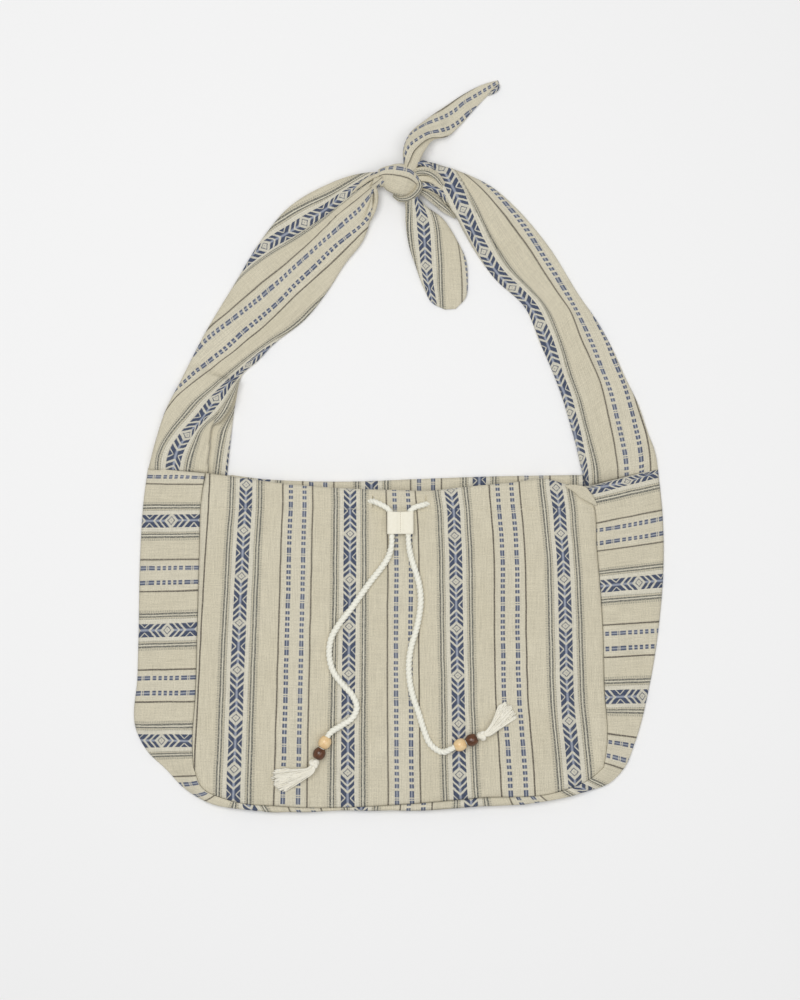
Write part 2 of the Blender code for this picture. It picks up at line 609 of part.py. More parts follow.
def make_slider(cloth):
    """Slider: a flat cloth tube stitched down its middle, so each cord has its own channel."""
    half_width, half_thick = SLIDER_WIDTH / 2, SLIDER_THICKNESS / 2
    profile = []
    for step in range(24):
        angle = 2 * math.pi * step / 24
        x = half_width * math.copysign(abs(math.cos(angle)) ** 0.7, math.cos(angle))
        waist = SLIDER_WAIST / 2 + (half_thick - SLIDER_WAIST / 2) * smoothstep(abs(x) / 4.0)
        z = float(waist) * math.copysign(abs(math.sin(angle)) ** 0.5, math.sin(angle))
        profile.append((x, z))
    rings = []
    for y in (-SLIDER_LENGTH / 2, SLIDER_LENGTH / 2):
        rings.append([(SLIDER_X + x, SLIDER_Y + y, SLIDER_Z + z) for x, z in profile])
    slider = add_loft("cord_slider", rings, cloth)
    for number, side in enumerate((-1, 1), start=1):
        bore = []
        for y in (-SLIDER_LENGTH, SLIDER_LENGTH):
            ring = []
            for step in range(20):
                angle = 2 * math.pi * step / 20
                ring.append((SLIDER_X + side * CHANNEL_OFFSET + SLIDER_BORE / 2 * math.cos(angle),
                             SLIDER_Y + y, SLIDER_Z + SLIDER_BORE / 2 * math.sin(angle)))
            bore.append(ring)
        add_boolean(slider, add_loft(f"slider_channel_{number}", bore, None), "DIFFERENCE")
    return slider


def make_bead(name, line, distance, size, wood, segments=16):
    """Bored wooden bead, turned about the cord's line at a distance along it."""
    diameter, length = size
    start, direction = bead_line(line)
    radius, half, bore = diameter / 2, length / 2, BEAD_BORE / 2
    profile = [(-half, bore), (-half, radius * 0.66), (-half * 0.8, radius * 0.86),
               (-half * 0.42, radius * 0.98), (0, radius), (half * 0.42, radius * 0.98),
               (half * 0.8, radius * 0.86), (half, radius * 0.66), (half, bore)]
    mesh = bpy.data.meshes.new(name)
    points = []
    for step in range(segments):
        angle = 2 * math.pi * step / segments
        points += [(r * math.cos(angle) * MM, r * math.sin(angle) * MM, z * MM) for z, r in profile]
    size_of_ring = len(profile)
    faces = []
    for step in range(segments):
        here, there = step * size_of_ring, (step + 1) % segments * size_of_ring
        for k in range(size_of_ring):
            after = (k + 1) % size_of_ring
            faces.append([here + k, there + k, there + after, here + after])
    mesh.from_pydata(points, [], faces)
    shape = bmesh.new()
    shape.from_mesh(mesh)
    bmesh.ops.recalc_face_normals(shape, faces=shape.faces)
    shape.to_mesh(mesh)
    shape.free()
    mesh.shade_smooth()
    mesh.set_sharp_from_angle(angle=math.radians(40))
    bead = add_object(name, mesh, wood)
    bead.location = Vector(start + direction * distance) * MM
    bead.rotation_mode = "QUATERNION"
    bead.rotation_quaternion = Vector(direction).to_track_quat("Z", "Y")
    return bead


def make_tassel(name, line, tip, cord, sides=14):
    """End knot of a cord and its frayed tassel, laid flat on the front panel."""
    start, direction = bead_line(line)
    knot = start + direction * KNOT_AT
    route = [knot + direction * TASSEL_SECTIONS[0][0], knot, knot + direction * 4.0,
             (knot + direction * 4.0 + np.array(tip)) / 2 + np.array((0, 0, -0.6)), np.array(tip, dtype=float)]
    at = chord_places(route)
    first = TASSEL_SECTIONS[0][0]
    scale = at[-1] / (TASSEL_SECTIONS[-1][0] - first)
    rings = []
    for distance, half_width, half_height in TASSEL_SECTIONS:
        where = np.array([(distance - first) * scale])
        centre = curve_at(route, where)[0]
        ahead = curve_at(route, np.minimum(where + 0.5, at[-1]))[0] - curve_at(route, where - 0.5)[0]
        if distance == first:
            ahead = direction
        ahead = ahead / np.linalg.norm(ahead)
        across = np.cross((0, 0, 1), ahead)
        across = across / np.linalg.norm(across)
        up = np.cross(ahead, across)
        ring = []
        for step in range(sides):
            angle = 2 * math.pi * step / sides
            ring.append(centre + across * half_width * math.cos(angle) + up * half_height * math.sin(angle))
        rings.append(ring)
    return add_loft(name, rings, cord)


def main():
    """Build the bag."""
    clear_scene()
    cloth = make_material("striped_cloth", CLOTH_COLOUR, 0.9)
    strap_cloth = make_material("strap_cloth", STRIPE_COLOUR, 0.9)
    cord = make_material("cotton_cord", CORD_COLOUR, 0.85)
    slider_cloth = make_material("slider_cloth", SLIDER_COLOUR, 0.85)
    light_wood = make_material("light_wood", LIGHT_WOOD, 0.5)
    dark_wood = make_material("dark_wood", DARK_WOOD, 0.45)

    make_back_panel(cloth)
    make_front_panel(cloth)
    make_gusset(cloth)
    make_straps(strap_cloth)
    add_cord("drawstring_in_casing", casing_points(), cord)
    make_slider(slider_cloth)
    ends = (("left", LEFT_CORD_TOP, LEFT_CORD_ON_FRONT, LEFT_BEAD_LINE, LEFT_TASSEL_TIP),
            ("right", RIGHT_CORD_TOP, RIGHT_CORD_ON_FRONT, RIGHT_BEAD_LINE, RIGHT_TASSEL_TIP))
    for side, top, on_front, line, tip in ends:
        add_cord(f"drawstring_{side}_end", free_cord_points(top, on_front, line), cord)
        make_bead(f"{side}_light_bead", line, 0.0, LIGHT_BEAD, light_wood)
        make_bead(f"{side}_dark_bead", line, DARK_BEAD_AT, DARK_BEAD, dark_wood)
        make_tassel(f"{side}_tassel", line, tip, cord)


main()
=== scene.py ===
"""Looks of the striped cotton sling bag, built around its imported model.

Metres, +Z up. The bag lies flat on its back, its straps point to +Y, and the camera looks
straight down on it. Shapes are worked out in millimetres and turned to metres by MM. Routes of
stripes and folds are laid out on an 800 by 1000 sheet, which sheet_xy turns to millimetres.
"""

import math

import bmesh
import bpy
import numpy as np
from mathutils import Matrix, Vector


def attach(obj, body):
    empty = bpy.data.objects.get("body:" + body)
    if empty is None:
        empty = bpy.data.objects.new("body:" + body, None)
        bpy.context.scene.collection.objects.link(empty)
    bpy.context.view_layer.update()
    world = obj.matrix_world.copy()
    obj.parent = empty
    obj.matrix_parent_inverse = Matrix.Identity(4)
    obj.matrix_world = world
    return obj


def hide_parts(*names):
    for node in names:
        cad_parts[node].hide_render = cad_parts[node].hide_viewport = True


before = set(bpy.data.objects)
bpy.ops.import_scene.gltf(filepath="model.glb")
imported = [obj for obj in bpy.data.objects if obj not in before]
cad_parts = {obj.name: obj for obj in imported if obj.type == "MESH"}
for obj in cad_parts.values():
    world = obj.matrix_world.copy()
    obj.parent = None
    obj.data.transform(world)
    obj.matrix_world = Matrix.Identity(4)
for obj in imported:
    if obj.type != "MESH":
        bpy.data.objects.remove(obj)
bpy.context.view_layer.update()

MM = 0.001
# The sheet: millimetres for each of its steps, and where x = 0, y = 0 lies on it
SHEET_STEP = 0.82
SHEET_ORIGIN = (399.6, 445.5)
FULL_TURN = 2 * math.pi

# Cloth, and the clearance between pieces
CLOTH = 0.9
SEAM_GAP = 0.2
CORD_DIAMETER = 4.2
CHANNEL = 4.8
HEM_RADIUS = CHANNEL / 2 + CLOTH

# Pattern of the cloth: repeat across the stripes, repeat along them, yarn spacing, and the step
# in which the places of single stripes are given
REPEAT = 91.84
MOTIF_REPEAT = 38.13
YARN = 0.46
STRIPE = REPEAT / 112

# Heights of the front panel at its seams and crown, and of its hem; the width over which it rises
# from a seam, and where it starts to lift towards the hem
FRONT_AT_SEAM, FRONT_CROWN = 9.0, 13.5
FRONT_HEM_MIDDLE, FRONT_HEM_END = 18.7, 14.2
CROWN_WIDTH, LIFT_START = 50.0, -150.0
# Stitch lines of the hems, half the width of the mouth, and how far a turned hem passes the outline
FRONT_STITCH_Y, BACK_STITCH_Y, HEM_HALF_WIDTH, HEM_RISE = -52.0, -47.0, 160.0, 0.4
# Dip of the front panel at its seams, groove along the hem's stitches, gathers under the hem, and the
# shares of the front and back panel over which the hem pulls the edge back
SEAM_DIP, SEAM_DIP_WIDTH, GROOVE_DEPTH, GROOVE_WIDTH = 1.2, 3.6, 0.75, 1.1
GATHER_HEIGHT, GATHER_REACH, HEM_PULL, BACK_HEM_PULL = 0.32, 26.0, 0.06, 0.05
# Waves are low beside a cord: the share of their height there, the margin that keeps it, and the
# width over which they grow from it
CALM_SHARE, CORD_MARGIN, CORD_FREE = 0.4, 4, 20
# Loose waves: height, size, seed, squash along the stripes, and margin at the seams
FRONT_WAVES = ((1.0, 62, 3, 1.0, 16), (0.42, 21, 4, 0.4, 8))

# Stripes of the panels at one row of the sheet: steps from repeat to repeat, place of the middle one,
# and how much each grows with every row below. Above GATHER_ROW the repeats keep their width, and
# the last two values are the repeats at the left and right seam.
STRIPE_ROW, STRIPE_PITCH, PITCH_GROWTH, STRIPE_PLACE, PLACE_GROWTH = 500, 103.2, 0.0372, 401.0, 0.0125
GATHER_ROW, FIRST_REPEAT, LAST_REPEAT = 470, -1.905, 1.843
# Shift of the back panel's stripes, in steps, and how much it moves the last repeat for each step
BACK_SHIFT, REPEAT_SHIFT = 21.0, 0.0005
# Above these places the stripes run straight up
FRONT_EVEN_Y, BACK_EVEN_Y = FRONT_STITCH_Y + 20, -40.0
# Where the front panel's stripes drift sideways: place, amount and reach on the sheet
PANEL_DRIFTS = [
    (515, 550, 2.2, 60, 48), (508, 690, -2.4, 42, 60), (572, 575, 2.0, 40, 60),
    (460, 770, -1.6, 40, 50), (410, 560, 2.0, 26, 60), (440, 488, -2.2, 34, 14),
    (265, 508, 0.6, 60, 14), (225, 620, -1.5, 35, 110), (352, 560, 1.1, 30, 110),
    (572, 705, -2.0, 36, 45), (567, 510, 1.2, 22, 18)]
# Rows of the sheet at which the motifs of the first stripe lie, and how many rows lower they lie on
# each of the four stripes with motifs
MOTIF_STRIPES, MOTIF_DROPS = (-131, -41, 47, 137), (0, 3.6, 5.6, 3.0)
MOTIF_ROWS = (393, 439, 484.5, 530, 575.8, 622.5, 669.5, 717.5, 768.8, 820)
# The buttonholes, and their places as shares of the panel's width, with the share on either side that
# has a finer grid. Then the slit and its rim, with widths and lengths from the middle.
BUTTONHOLE_X, BUTTONHOLE_Y = (-21.8, 21.6), -46.0
BUTTONHOLE_SHARES, FINE_SHARE = (0.4365, 0.573), 0.012
SLIT_WIDTH, SLIT_LENGTH, SLIT_DEPTH = 0.7, 4.6, 2.4
RIM_PLACE, RIM_WIDTH, RIM_LENGTH, RIM_HEIGHT = 1.3, 0.6, 5.2, 0.25
# Rows of stitches: first, end and pitch, along the hem and along a buttonhole from its middle. Then
# the radius of each thread
HEM_STITCHES, BUTTONHOLE_STITCHES = (-154, 148, 2.6), (-4.6, 4.7, 0.66)
HEM_THREAD, BUTTONHOLE_THREAD, SLIDER_THREAD = 0.16, 0.15, 0.2
# The pinch at the right corner: its route on the sheet, then fold_step's other values
CORNER_PINCH = ([(561, 479), (570, 488), (580, 496), (589, 501), (598, 504)], 3.4, 7, 6, 8)

# Outlines of the bag, close to its model's
FRONT_TOP = [
    (-159, -22.8), (-143, -25), (-122, -28), (-95, -31.5), (-46, -35.5), (0, -37), (21, -37.5),
    (57, -34), (90, -31), (121, -28), (136, -32), (153, -34)]
FRONT_LEFT = [
    (-159, -22.8), (-162, -42), (-164, -90), (-166, -152), (-167.5, -205), (-170, -245), (-169, -264)]
FRONT_BOTTOM = [
    (-169, -264), (-162, -280.5), (-141, -290.5), (-96, -296), (0, -294.5), (66, -289), (132, -283.5),
    (158.5, -272), (167.5, -264)]
FRONT_RIGHT = [
    (153, -34), (158.6, -48), (161.4, -83), (166.2, -141), (168, -200), (170.2, -244), (167.5, -264)]
BACK_TOP = [(-138.5, -24.5), (-120, -27), (-57, -30), (25, -27.5), (66, -26), (151, -24.5)]
BACK_LEFT = [(-138.5, -24.5), (-143, -80), (-151, -140), (-160, -200), (-167, -245), (-167, -263)]
BACK_BOTTOM = [
    (-167, -263), (-160, -279), (-141, -288.5), (-96, -294), (0, -292.5), (66, -287), (132, -281.5),
    (157, -270.5), (165.5, -263)]
BACK_RIGHT = [
    (151, -24.5), (153, -36), (157, -60), (163, -120), (167, -200), (169, -244), (165.5, -263)]
GUSSET_BACK_END = (151.5, -34.5)
# Where the back panel's stripes lie, and where the front panel's even repeat would put them
BACK_STRIPE_PLACES = [
    (-170, -166.9), (-111.2, -108.1), (-79.5, -78.2), (-53.9, -53.3), (-23, -23.3), (8.9, 5.9),
    (34.4, 29.3), (65.3, 60.2), (97.1, 90.8), (123.3, 115.8), (143.8, 134.4), (180, 170.6)]
BAG_OUTLINE = [
    (-207, -18.2), (-210.5, -44.5), (-213.5, -94), (-214.5, -150), (-215.5, -189), (-216.5, -234),
    (-208, -250.5), (-192, -266), (-177, -281.5), (-162, -291), (-116, -300), (-41, -299.5),
    (16, -299.5), (58, -297), (103, -294.5), (154, -284), (173, -277), (184, -266), (193.5, -244),
    (205.5, -197), (213.5, -145), (217, -98), (216.5, -60), (212.5, -18.8)]
# Gusset: height where it lies folded flat, depth of its tuck along the bottom, and the shares of the
# bottom over which it lifts and then tucks
FOLD_HEIGHT, FOLD_TUCK, LIFT_RUN, TUCK_RUN = 3.6, 37.0, 0.1, 0.15
# Its dip at the seam, its lumps as pairs of height and size, and where its first and last section
# start along its stripes
GUSSET_DIP, GUSSET_DIP_WIDTH = 0.7, 2.6
GUSSET_LUMPS, GUSSET_STARTS = ((0.9, 46), (0.5, 19)), (14.8, 5.0)
# Gap between the back panel and the floor
FLOOR_GAP = 0.12

LEFT_STRAP_OUTER = [
    (-206.7, -19.4), (-200.5, 4.5), (-192.5, 29), (-180, 53.5), (-160.5, 91.5), (-135, 134),
    (-113, 170), (-91.5, 195.5), (-59.5, 214.5), (-36, 222.5), (-20, 224), (-10, 223)]
LEFT_STRAP_INNER = [
    (-142, -25.4), (-138.9, 4.5), (-134.4, 37.5), (-129, 58.5), (-117, 69.3), (-105, 82), (-77, 104.5),
    (-59.5, 126.5), (-45, 149), (-30, 168.5), (-22, 192), (-18, 211), (-9, 211)]
RIGHT_STRAP_OUTER = [
    (212.6, -19.6), (209.5, -3.5), (204.5, 9.5), (196.5, 33), (185.5, 56), (174, 81.5), (163.5, 100.5),
    (148.5, 122), (121.5, 165), (94, 197), (78, 211), (51, 224.5), (37, 229), (22, 232), (10, 226)]
RIGHT_STRAP_INNER = [
    (153.2, -33.4), (148, -13.5), (145.5, -2), (139.5, 20), (133, 41.5), (123.5, 66), (116, 83),
    (103, 113.5), (78, 137.5), (59.5, 163.5), (53, 175), (44, 191), (31.5, 202), (19, 209), (8, 212)]
POINTED_TAIL_LEFT = [
    (4, 224), (3, 242.5), (8, 255.5), (21.5, 267.5), (37, 278.5), (54.5, 290), (71.5, 298), (81, 300.5)]
POINTED_TAIL_RIGHT = [
    (13, 224), (21, 241.5), (27.5, 250), (39, 253.5), (49.5, 263), (61, 276), (72.5, 288), (82, 297)]
LEAF_TAIL_LEFT = [
    (1, 214), (4.5, 198), (5, 182.5), (7.5, 165), (13.5, 146.5), (20, 129), (26.5, 117.5), (37, 112)]
LEAF_TAIL_RIGHT = [
    (12, 214), (18, 200), (36, 185.5), (48, 167), (54.5, 153), (56, 135.5), (54.5, 122), (46, 112.5)]

# Routes of the drawstring, close to the ones in the bag's model. A bead line is the centre of the
# light bead and the direction of the cord's straight end.
LEFT_CORD_TOP = [
    (-33.4, -46, 15.1), (-28.4, -45.6, 15.2), (-24.6, -45.4, 16.2), (-22, -45.6, 18.6),
    (-19.4, -46.4, 21.1), (-15.6, -48.2, 22.4), (-11.6, -50.4, 22.9), (-8.4, -53, 22.9),
    (-6.9, -57, 22.7), (-6.5, -64, 22.6), (-6.4, -72, 22.6), (-6.4, -80, 22.4)]
LEFT_CORD_ON_FRONT = [
    (-9.2, -91), (-14.5, -99.5), (-22, -109), (-31.5, -122), (-40, -134), (-49, -145.5),
    (-55.8, -157.5), (-57.5, -171), (-54.6, -184), (-47, -195), (-38.5, -204.5), (-35, -214),
    (-38.5, -222.5), (-47, -228.6)]
LEFT_BEAD_LINE = ((-61, -242.5, 19.0), (-0.447, -0.894, -0.03))
LEFT_TASSEL_TIP, LEFT_TASSEL_SPREAD = (-102.5, -277, 14.0), 9.8
RIGHT_CORD_TOP = [
    (33.8, -46, 15.1), (28.8, -46.2, 15.2), (25.2, -46.8, 16.2), (22.4, -47.8, 18.6),
    (19.8, -48.6, 21.1), (15.8, -49.6, 22.4), (11.8, -51, 22.9), (9, -53.2, 22.9), (7.5, -57, 22.7),
    (7.1, -64, 22.6), (7.1, -72, 22.6), (7.3, -80, 22.4)]
RIGHT_CORD_ON_FRONT = [
    (9.5, -92), (13, -103), (16, -114), (17.2, -126), (16, -139), (13.2, -152), (9.6, -164),
    (7.6, -177), (8, -191), (10.8, -205), (15.6, -219), (20, -233), (25.8, -245), (35, -250.6)]
RIGHT_BEAD_LINE = ((49.5, -244.5, 19.0), (0.922, 0.388, -0.01))
RIGHT_TASSEL_TIP, RIGHT_TASSEL_SPREAD = (92, -214.5, 16.0), 9.5
CASING_FRONT_LEFT = [(-34, -46), (-48, -46), (-80, -46.5), (-120, -47.3), (-150, -47.5)]
CASING_TURN_LEFT = [
    (-161, -47.4, 10.9), (-166.9, -45.2, 9.8), (-169.4, -39.9, 7.15), (-166.9, -34.6, 4.5),
    (-161, -32.4, 3.4)]
CASING_BACK = [
    (-148, -32.4), (-100, -36.5), (-50, -39), (0, -38.5), (50, -36), (100, -35), (150, -35.2)]
CASING_TURN_RIGHT = [
    (162, -35.2, 3.4), (167.4, -37.1, 4.5), (169.6, -41.8, 7.15), (167.4, -46.5, 9.8),
    (162, -48.4, 10.9)]
CASING_FRONT_RIGHT = [(150, -48.3), (120, -47.5), (80, -46.5), (48, -46), (34.4, -46)]
# Rope: gap over the cloth, length of one twist, swelling on the free run, and where that run starts
# below the slider and ends before the light bead. Then its diameter in the casings, and how far it
# lies below the middle of the front and of the back casing.
CORD_CLEARANCE, LAY, CORD_SWELL = 0.5, 10.2, 0.12
HIDDEN_DIAMETER, FRONT_SAG, BACK_SAG = 3.7, 0.6, 0.3
SWELL_START_Y, SWELL_END = -81.0, 6.5
# Straight end of a cord, measured from the light bead's centre; diameters and lengths of the beads
BEAD_LINE_LEAD, DARK_BEAD_AT, KNOT_AT, KNOT_DEPTH = 7.0, 10.3, 19.3, 4.0
LIGHT_BEAD_SIZE, DARK_BEAD_SIZE, BORE_RADIUS = (10.3, 10.0), (10.2, 9.6), 2.55
# End knot: radius of its cord, and the scale of its loop along the cord, across it and upwards.
# Tassel: number of strands, and their radius at the root and at the tip
KNOT_RADIUS, LOOP_ALONG, LOOP_ACROSS, LOOP_UP = 1.72, 0.86, 0.98, 1.25
STRANDS, STRAND_ROOT, STRAND_TIP = 110, 0.52, 0.36
# The slider's centre, and its stitches as first, end and pitch; half its length and width, and half
# its height at the stitches and beside them
SLIDER_CENTRE, SLIDER_STITCHES = (0.6, -63.1, 22.6), (-7.6, 7.9, 1.5)
SLIDER_HALF_LENGTH, SLIDER_HALF_WIDTH, SLIDER_WAIST, SLIDER_SWELL = 9.4, 10.8, 1.9, 3.55

# Where stripes run on the straps: place of the stripe in the repeat, whole motifs added along it,
# a spot with a crossed block between two diamonds, and the stripe's route on the sheet
LEFT_STRAP_STRIPES = [
    (-15, 0, (277, 222), [(392, 158), (372.5, 170), (350, 183), (332, 193.5), (306.6, 205),
        (296, 210.3), (285.3, 216.7), (273.6, 224), (262, 234), (245, 250), (215, 280), (185, 312)]),
    (0, 0, (285, 235), [(394, 164), (380, 173), (365, 181), (342.5, 195), (324, 210), (304, 222.5),
        (285, 234), (263, 246), (243, 262), (225, 282), (205, 308)]),
    (5.5, 0, (288, 239.5), [(395, 166), (381, 175.5), (367, 184), (346, 199), (329, 213.5),
        (308, 226.5), (288, 238.5), (266, 251), (246, 267), (228, 287), (208, 313)]),
    (21, 0, (294, 245), [(396, 168), (382, 177), (368, 186), (348, 201), (331, 215.5), (314, 229),
        (298, 239.5), (275, 253), (256, 265.5), (243, 276), (236, 283), (220, 302)]),
    (39.8, 0, (298, 248), [(397, 172), (384, 179), (372, 188), (360, 197.5), (348, 206.5),
        (336.5, 215.6), (325.5, 226.5), (315.2, 237), (305, 246), (296, 254), (285.3, 263.6),
        (264, 280.6), (242.6, 298.8), (234, 306.3), (206.4, 329.8), (185, 352)]),
    (48.6, 0, (302.5, 259.5), [(398, 175), (386, 181), (373, 193), (359, 210.3), (349.3, 218.8),
        (339.7, 227.4), (319.5, 244.4), (302.4, 259.4), (285.3, 275.4), (268.3, 290.3), (251.2, 304.2),
        (232, 319.1), (221.4, 326.6), (205, 339.5), (195, 351), (180, 370), (165, 393)]),
    (63.2, 0, (311, 270), [(399, 180), (388, 190), (376, 206), (366, 221), (357.9, 228.5),
        (349.4, 234.5), (332.3, 247.6), (315.2, 264.7), (296, 282.8), (279, 301), (264, 313.8),
        (244.8, 330), (222.5, 351), (210, 360.6), (202.5, 366.3), (193.8, 373.1), (183.8, 381.9),
        (173.8, 390.6), (163, 405), (150, 430), (142, 455), (138, 475)]),
    (72.1, 0, (316, 276.5), [(402, 186), (392, 204), (375, 221), (360, 234.5), (338.7, 256.2),
        (317.4, 275.4), (296, 294.6), (274.7, 315.9), (259.7, 329.8), (245, 341.5), (235, 350),
        (220, 361.3), (205, 373.8), (190, 385), (175, 398), (168.8, 406), (161.3, 416.9), (152, 440),
        (147, 462), (144, 480)]),
    (97, 2, (257, 350.5), [(415, 215), (385, 245), (360, 266), (335, 288), (322.5, 299), (310, 311),
        (300, 321), (287.5, 331), (275, 338), (260, 348.5), (245, 360), (227.5, 374.4), (212.5, 387.5),
        (193.8, 403.8), (181.3, 418.8), (170, 432.5), (161.3, 446.3), (157.5, 456.3), (156.3, 463.8),
        (155, 480)]),
    (112, 2, (266, 350), [(420, 230), (390, 262), (365, 283), (340, 304), (322, 320), (308, 331),
        (290, 338), (275, 345), (260, 353), (247.5, 365), (230, 381.5), (215, 400), (202.5, 419),
        (187.5, 435.5), (177.5, 451), (173.8, 466), (171.5, 482)]),
    (127, 4, (211, 424), [(425, 245), (395, 278), (370, 300), (345, 322), (322, 338), (300, 349),
        (277, 357), (261, 364), (247, 372.5), (238.3, 382.5), (232.5, 394.5), (227, 405), (217.5, 415),
        (206, 424), (199.5, 431.5), (195, 443), (190, 457), (187.5, 469), (186, 482)]),
    (142, 4, (211, 428), [(430, 260), (400, 293), (375, 315), (350, 337), (322, 350), (290, 359),
        (265, 367), (249, 375), (240.6, 383), (235.3, 394), (230.6, 405), (223, 416), (212.5, 425.5),
        (209, 445), (207, 466), (206, 484)]),
    (199, 4, (222.4, 419.4), [(431, 262), (401, 295), (376, 317), (351, 339), (323, 352), (291, 360.5),
        (266, 368.3), (249.8, 375.8), (241.4, 383.8), (236.2, 394.6), (231.5, 405.6), (224, 416.8),
        (213.6, 426.4), (210.5, 445), (208.5, 466), (207.5, 484)]),
    (209, 4, (226, 424), [(436, 272), (406, 305), (380, 328), (352, 346), (320, 358), (290, 366.5),
        (266, 374), (252, 380), (243.5, 387), (239, 396.5), (235, 406.5), (229.5, 418), (225, 428),
        (221.5, 442), (219, 457), (217, 470), (215, 486)]),
    (218.5, 4, (238, 430), [(442, 285), (412, 318), (385, 340), (352, 352), (320, 364), (290, 372),
        (268, 380), (255, 388), (248, 396), (243, 405), (238.5, 415), (234, 427), (231, 440),
        (228.3, 456), (226.3, 472), (225, 486)]),
]
RIGHT_STRAP_STRIPES = [
    (-18, 0, (484, 278), [(405, 160), (422, 168), (432, 185), (443, 205), (455, 228), (467, 250),
        (480, 275), (497, 295), (513, 308), (524, 325), (532, 348), (540, 375), (548, 400), (554, 425),
        (560, 450), (565, 475), (567, 490)]),
    (0, 0, (497.5, 270), [(415, 148), (430, 158), (443, 171), (454, 191), (464, 212.5), (474, 234),
        (485.5, 255), (500, 276), (516, 291), (530, 306), (541, 328), (550, 350), (556, 372.5),
        (565, 394), (570.5, 414), (576.5, 440), (583, 468), (585, 488)]),
    (10.5, 0, (507, 266), [(420, 144), (436, 153), (452.5, 167), (465.5, 187), (473, 206), (483, 228),
        (494, 249), (509, 270), (525, 286), (539, 300), (550.5, 322), (559.5, 345), (566, 369),
        (574, 391), (580, 412), (586, 438), (590.5, 463), (592, 486)]),
    (15.5, 0, (510, 263), [(420.2, 143.8), (436.2, 152.8), (452.7, 166.8), (465.8, 186.8), (475, 205),
        (486, 228), (498, 250), (513, 272), (530, 289), (544, 305), (555, 328), (563.5, 352),
        (570.5, 376), (579, 399), (585, 423), (591, 446), (595.5, 464), (597, 484)]),
    (21, 0, (514, 261), [(420.4, 143.6), (436.4, 152.6), (453, 166.6), (466.1, 186.6), (477.5, 204),
        (490, 229), (503, 251), (518, 272), (535, 290), (549, 307), (560, 330), (568.5, 354),
        (576, 378), (584, 401), (590, 424), (596, 446), (601, 465), (603, 484)]),
    (39.8, 0, (527, 247), [(440, 145), (461, 171), (475, 182.5), (490, 197.5), (505, 215), (520, 235),
        (532.5, 252.5), (545, 272.5), (560, 295), (571, 311), (580, 335), (590, 357.5), (600, 380),
        (606, 402.5), (611, 425), (615, 447), (618, 470), (619, 488)]),
    (48.6, 0, (535, 245), [(455, 145), (480, 177), (495, 191), (507.5, 205), (522.5, 223), (535, 242.5),
        (547.5, 262.5), (560, 282.5), (571, 301), (583, 323), (593, 345), (602.5, 370), (611, 392.5),
        (616, 412.5), (620.5, 432.5), (625, 452.5), (627, 472), (628, 488)]),
    (63.2, 2, (598.75, 322.5), [(465, 140), (500, 180), (530, 208), (554, 238), (573, 268), (588, 299),
        (596, 318), (606, 338), (615.5, 362.5), (624, 382.5), (630.5, 405), (636, 427.5), (640, 447.5),
        (641.5, 470), (642, 488)]),
    (72.1, 2, (606, 319), [(475, 136), (512, 180), (542, 208), (566, 240), (583, 268), (597, 296),
        (606, 318), (616, 340), (625.5, 364), (632, 386), (638, 407.5), (645, 428), (649, 446),
        (651, 468), (652, 488)]),
]
POINTED_TAIL_STRIPES = [
    (39.8, 0, (424, 118), [(398, 168), (399, 150), (403, 138), (415, 127), (426.7, 117.5), (440, 110.5),
        (458, 97.5), (478, 85), (500, 72)]),
    (48.6, 0, (424.7, 124.2), [(401, 170), (403, 152), (406, 140), (413, 132.5), (425, 125),
        (441.7, 118), (455, 110), (463, 103), (476.7, 94.5), (488, 87.5), (503, 78)]),
    (63.2, 0, (431.3, 133), [(402.5, 172), (403.5, 160), (408, 148), (418, 140), (428, 134),
        (438, 131.5), (448, 128), (458, 121.5), (468, 112), (482, 103), (505, 88)]),
    (72.1, 0, (433, 139), [(406, 174), (411, 158), (418, 147.5), (431.7, 138), (446.7, 136.5),
        (460, 130), (478, 118), (508, 98)]),
    (94, 0, (437, 152), [(420, 176), (428, 160), (440, 150), (455, 146), (475, 136), (515, 112)]),
]
LEAF_TAIL_STRIPES = [
    (-26, 0, (401, 242.5), [(396, 190), (398, 212), (400, 235), (404, 258), (409, 285), (420, 320)]),
    (-15, 0, (411, 242.5), [(411, 190), (410, 212), (409.5, 228), (411, 245), (414, 260), (418, 280),
        (428, 312)]),
    (0, 0, (424.2, 242.5), [(415, 190), (418, 203), (422, 217), (424, 233), (425, 250), (425.5, 265),
        (427.5, 280), (431, 295), (436, 315)]),
    (15, 0, (439, 243), [(421, 190), (426, 199), (433, 212), (437.5, 228), (439, 245), (440, 262),
        (440.5, 287), (442, 315)]),
    (39.8, 0, (458, 245), [(440, 190), (448, 212), (455, 230), (459, 247), (461, 262), (462, 278),
        (462.5, 315)]),
    (48.6, 0, (463, 246), [(452, 195), (458, 222), (463, 248), (466, 262), (468, 278), (468, 315)]),
]

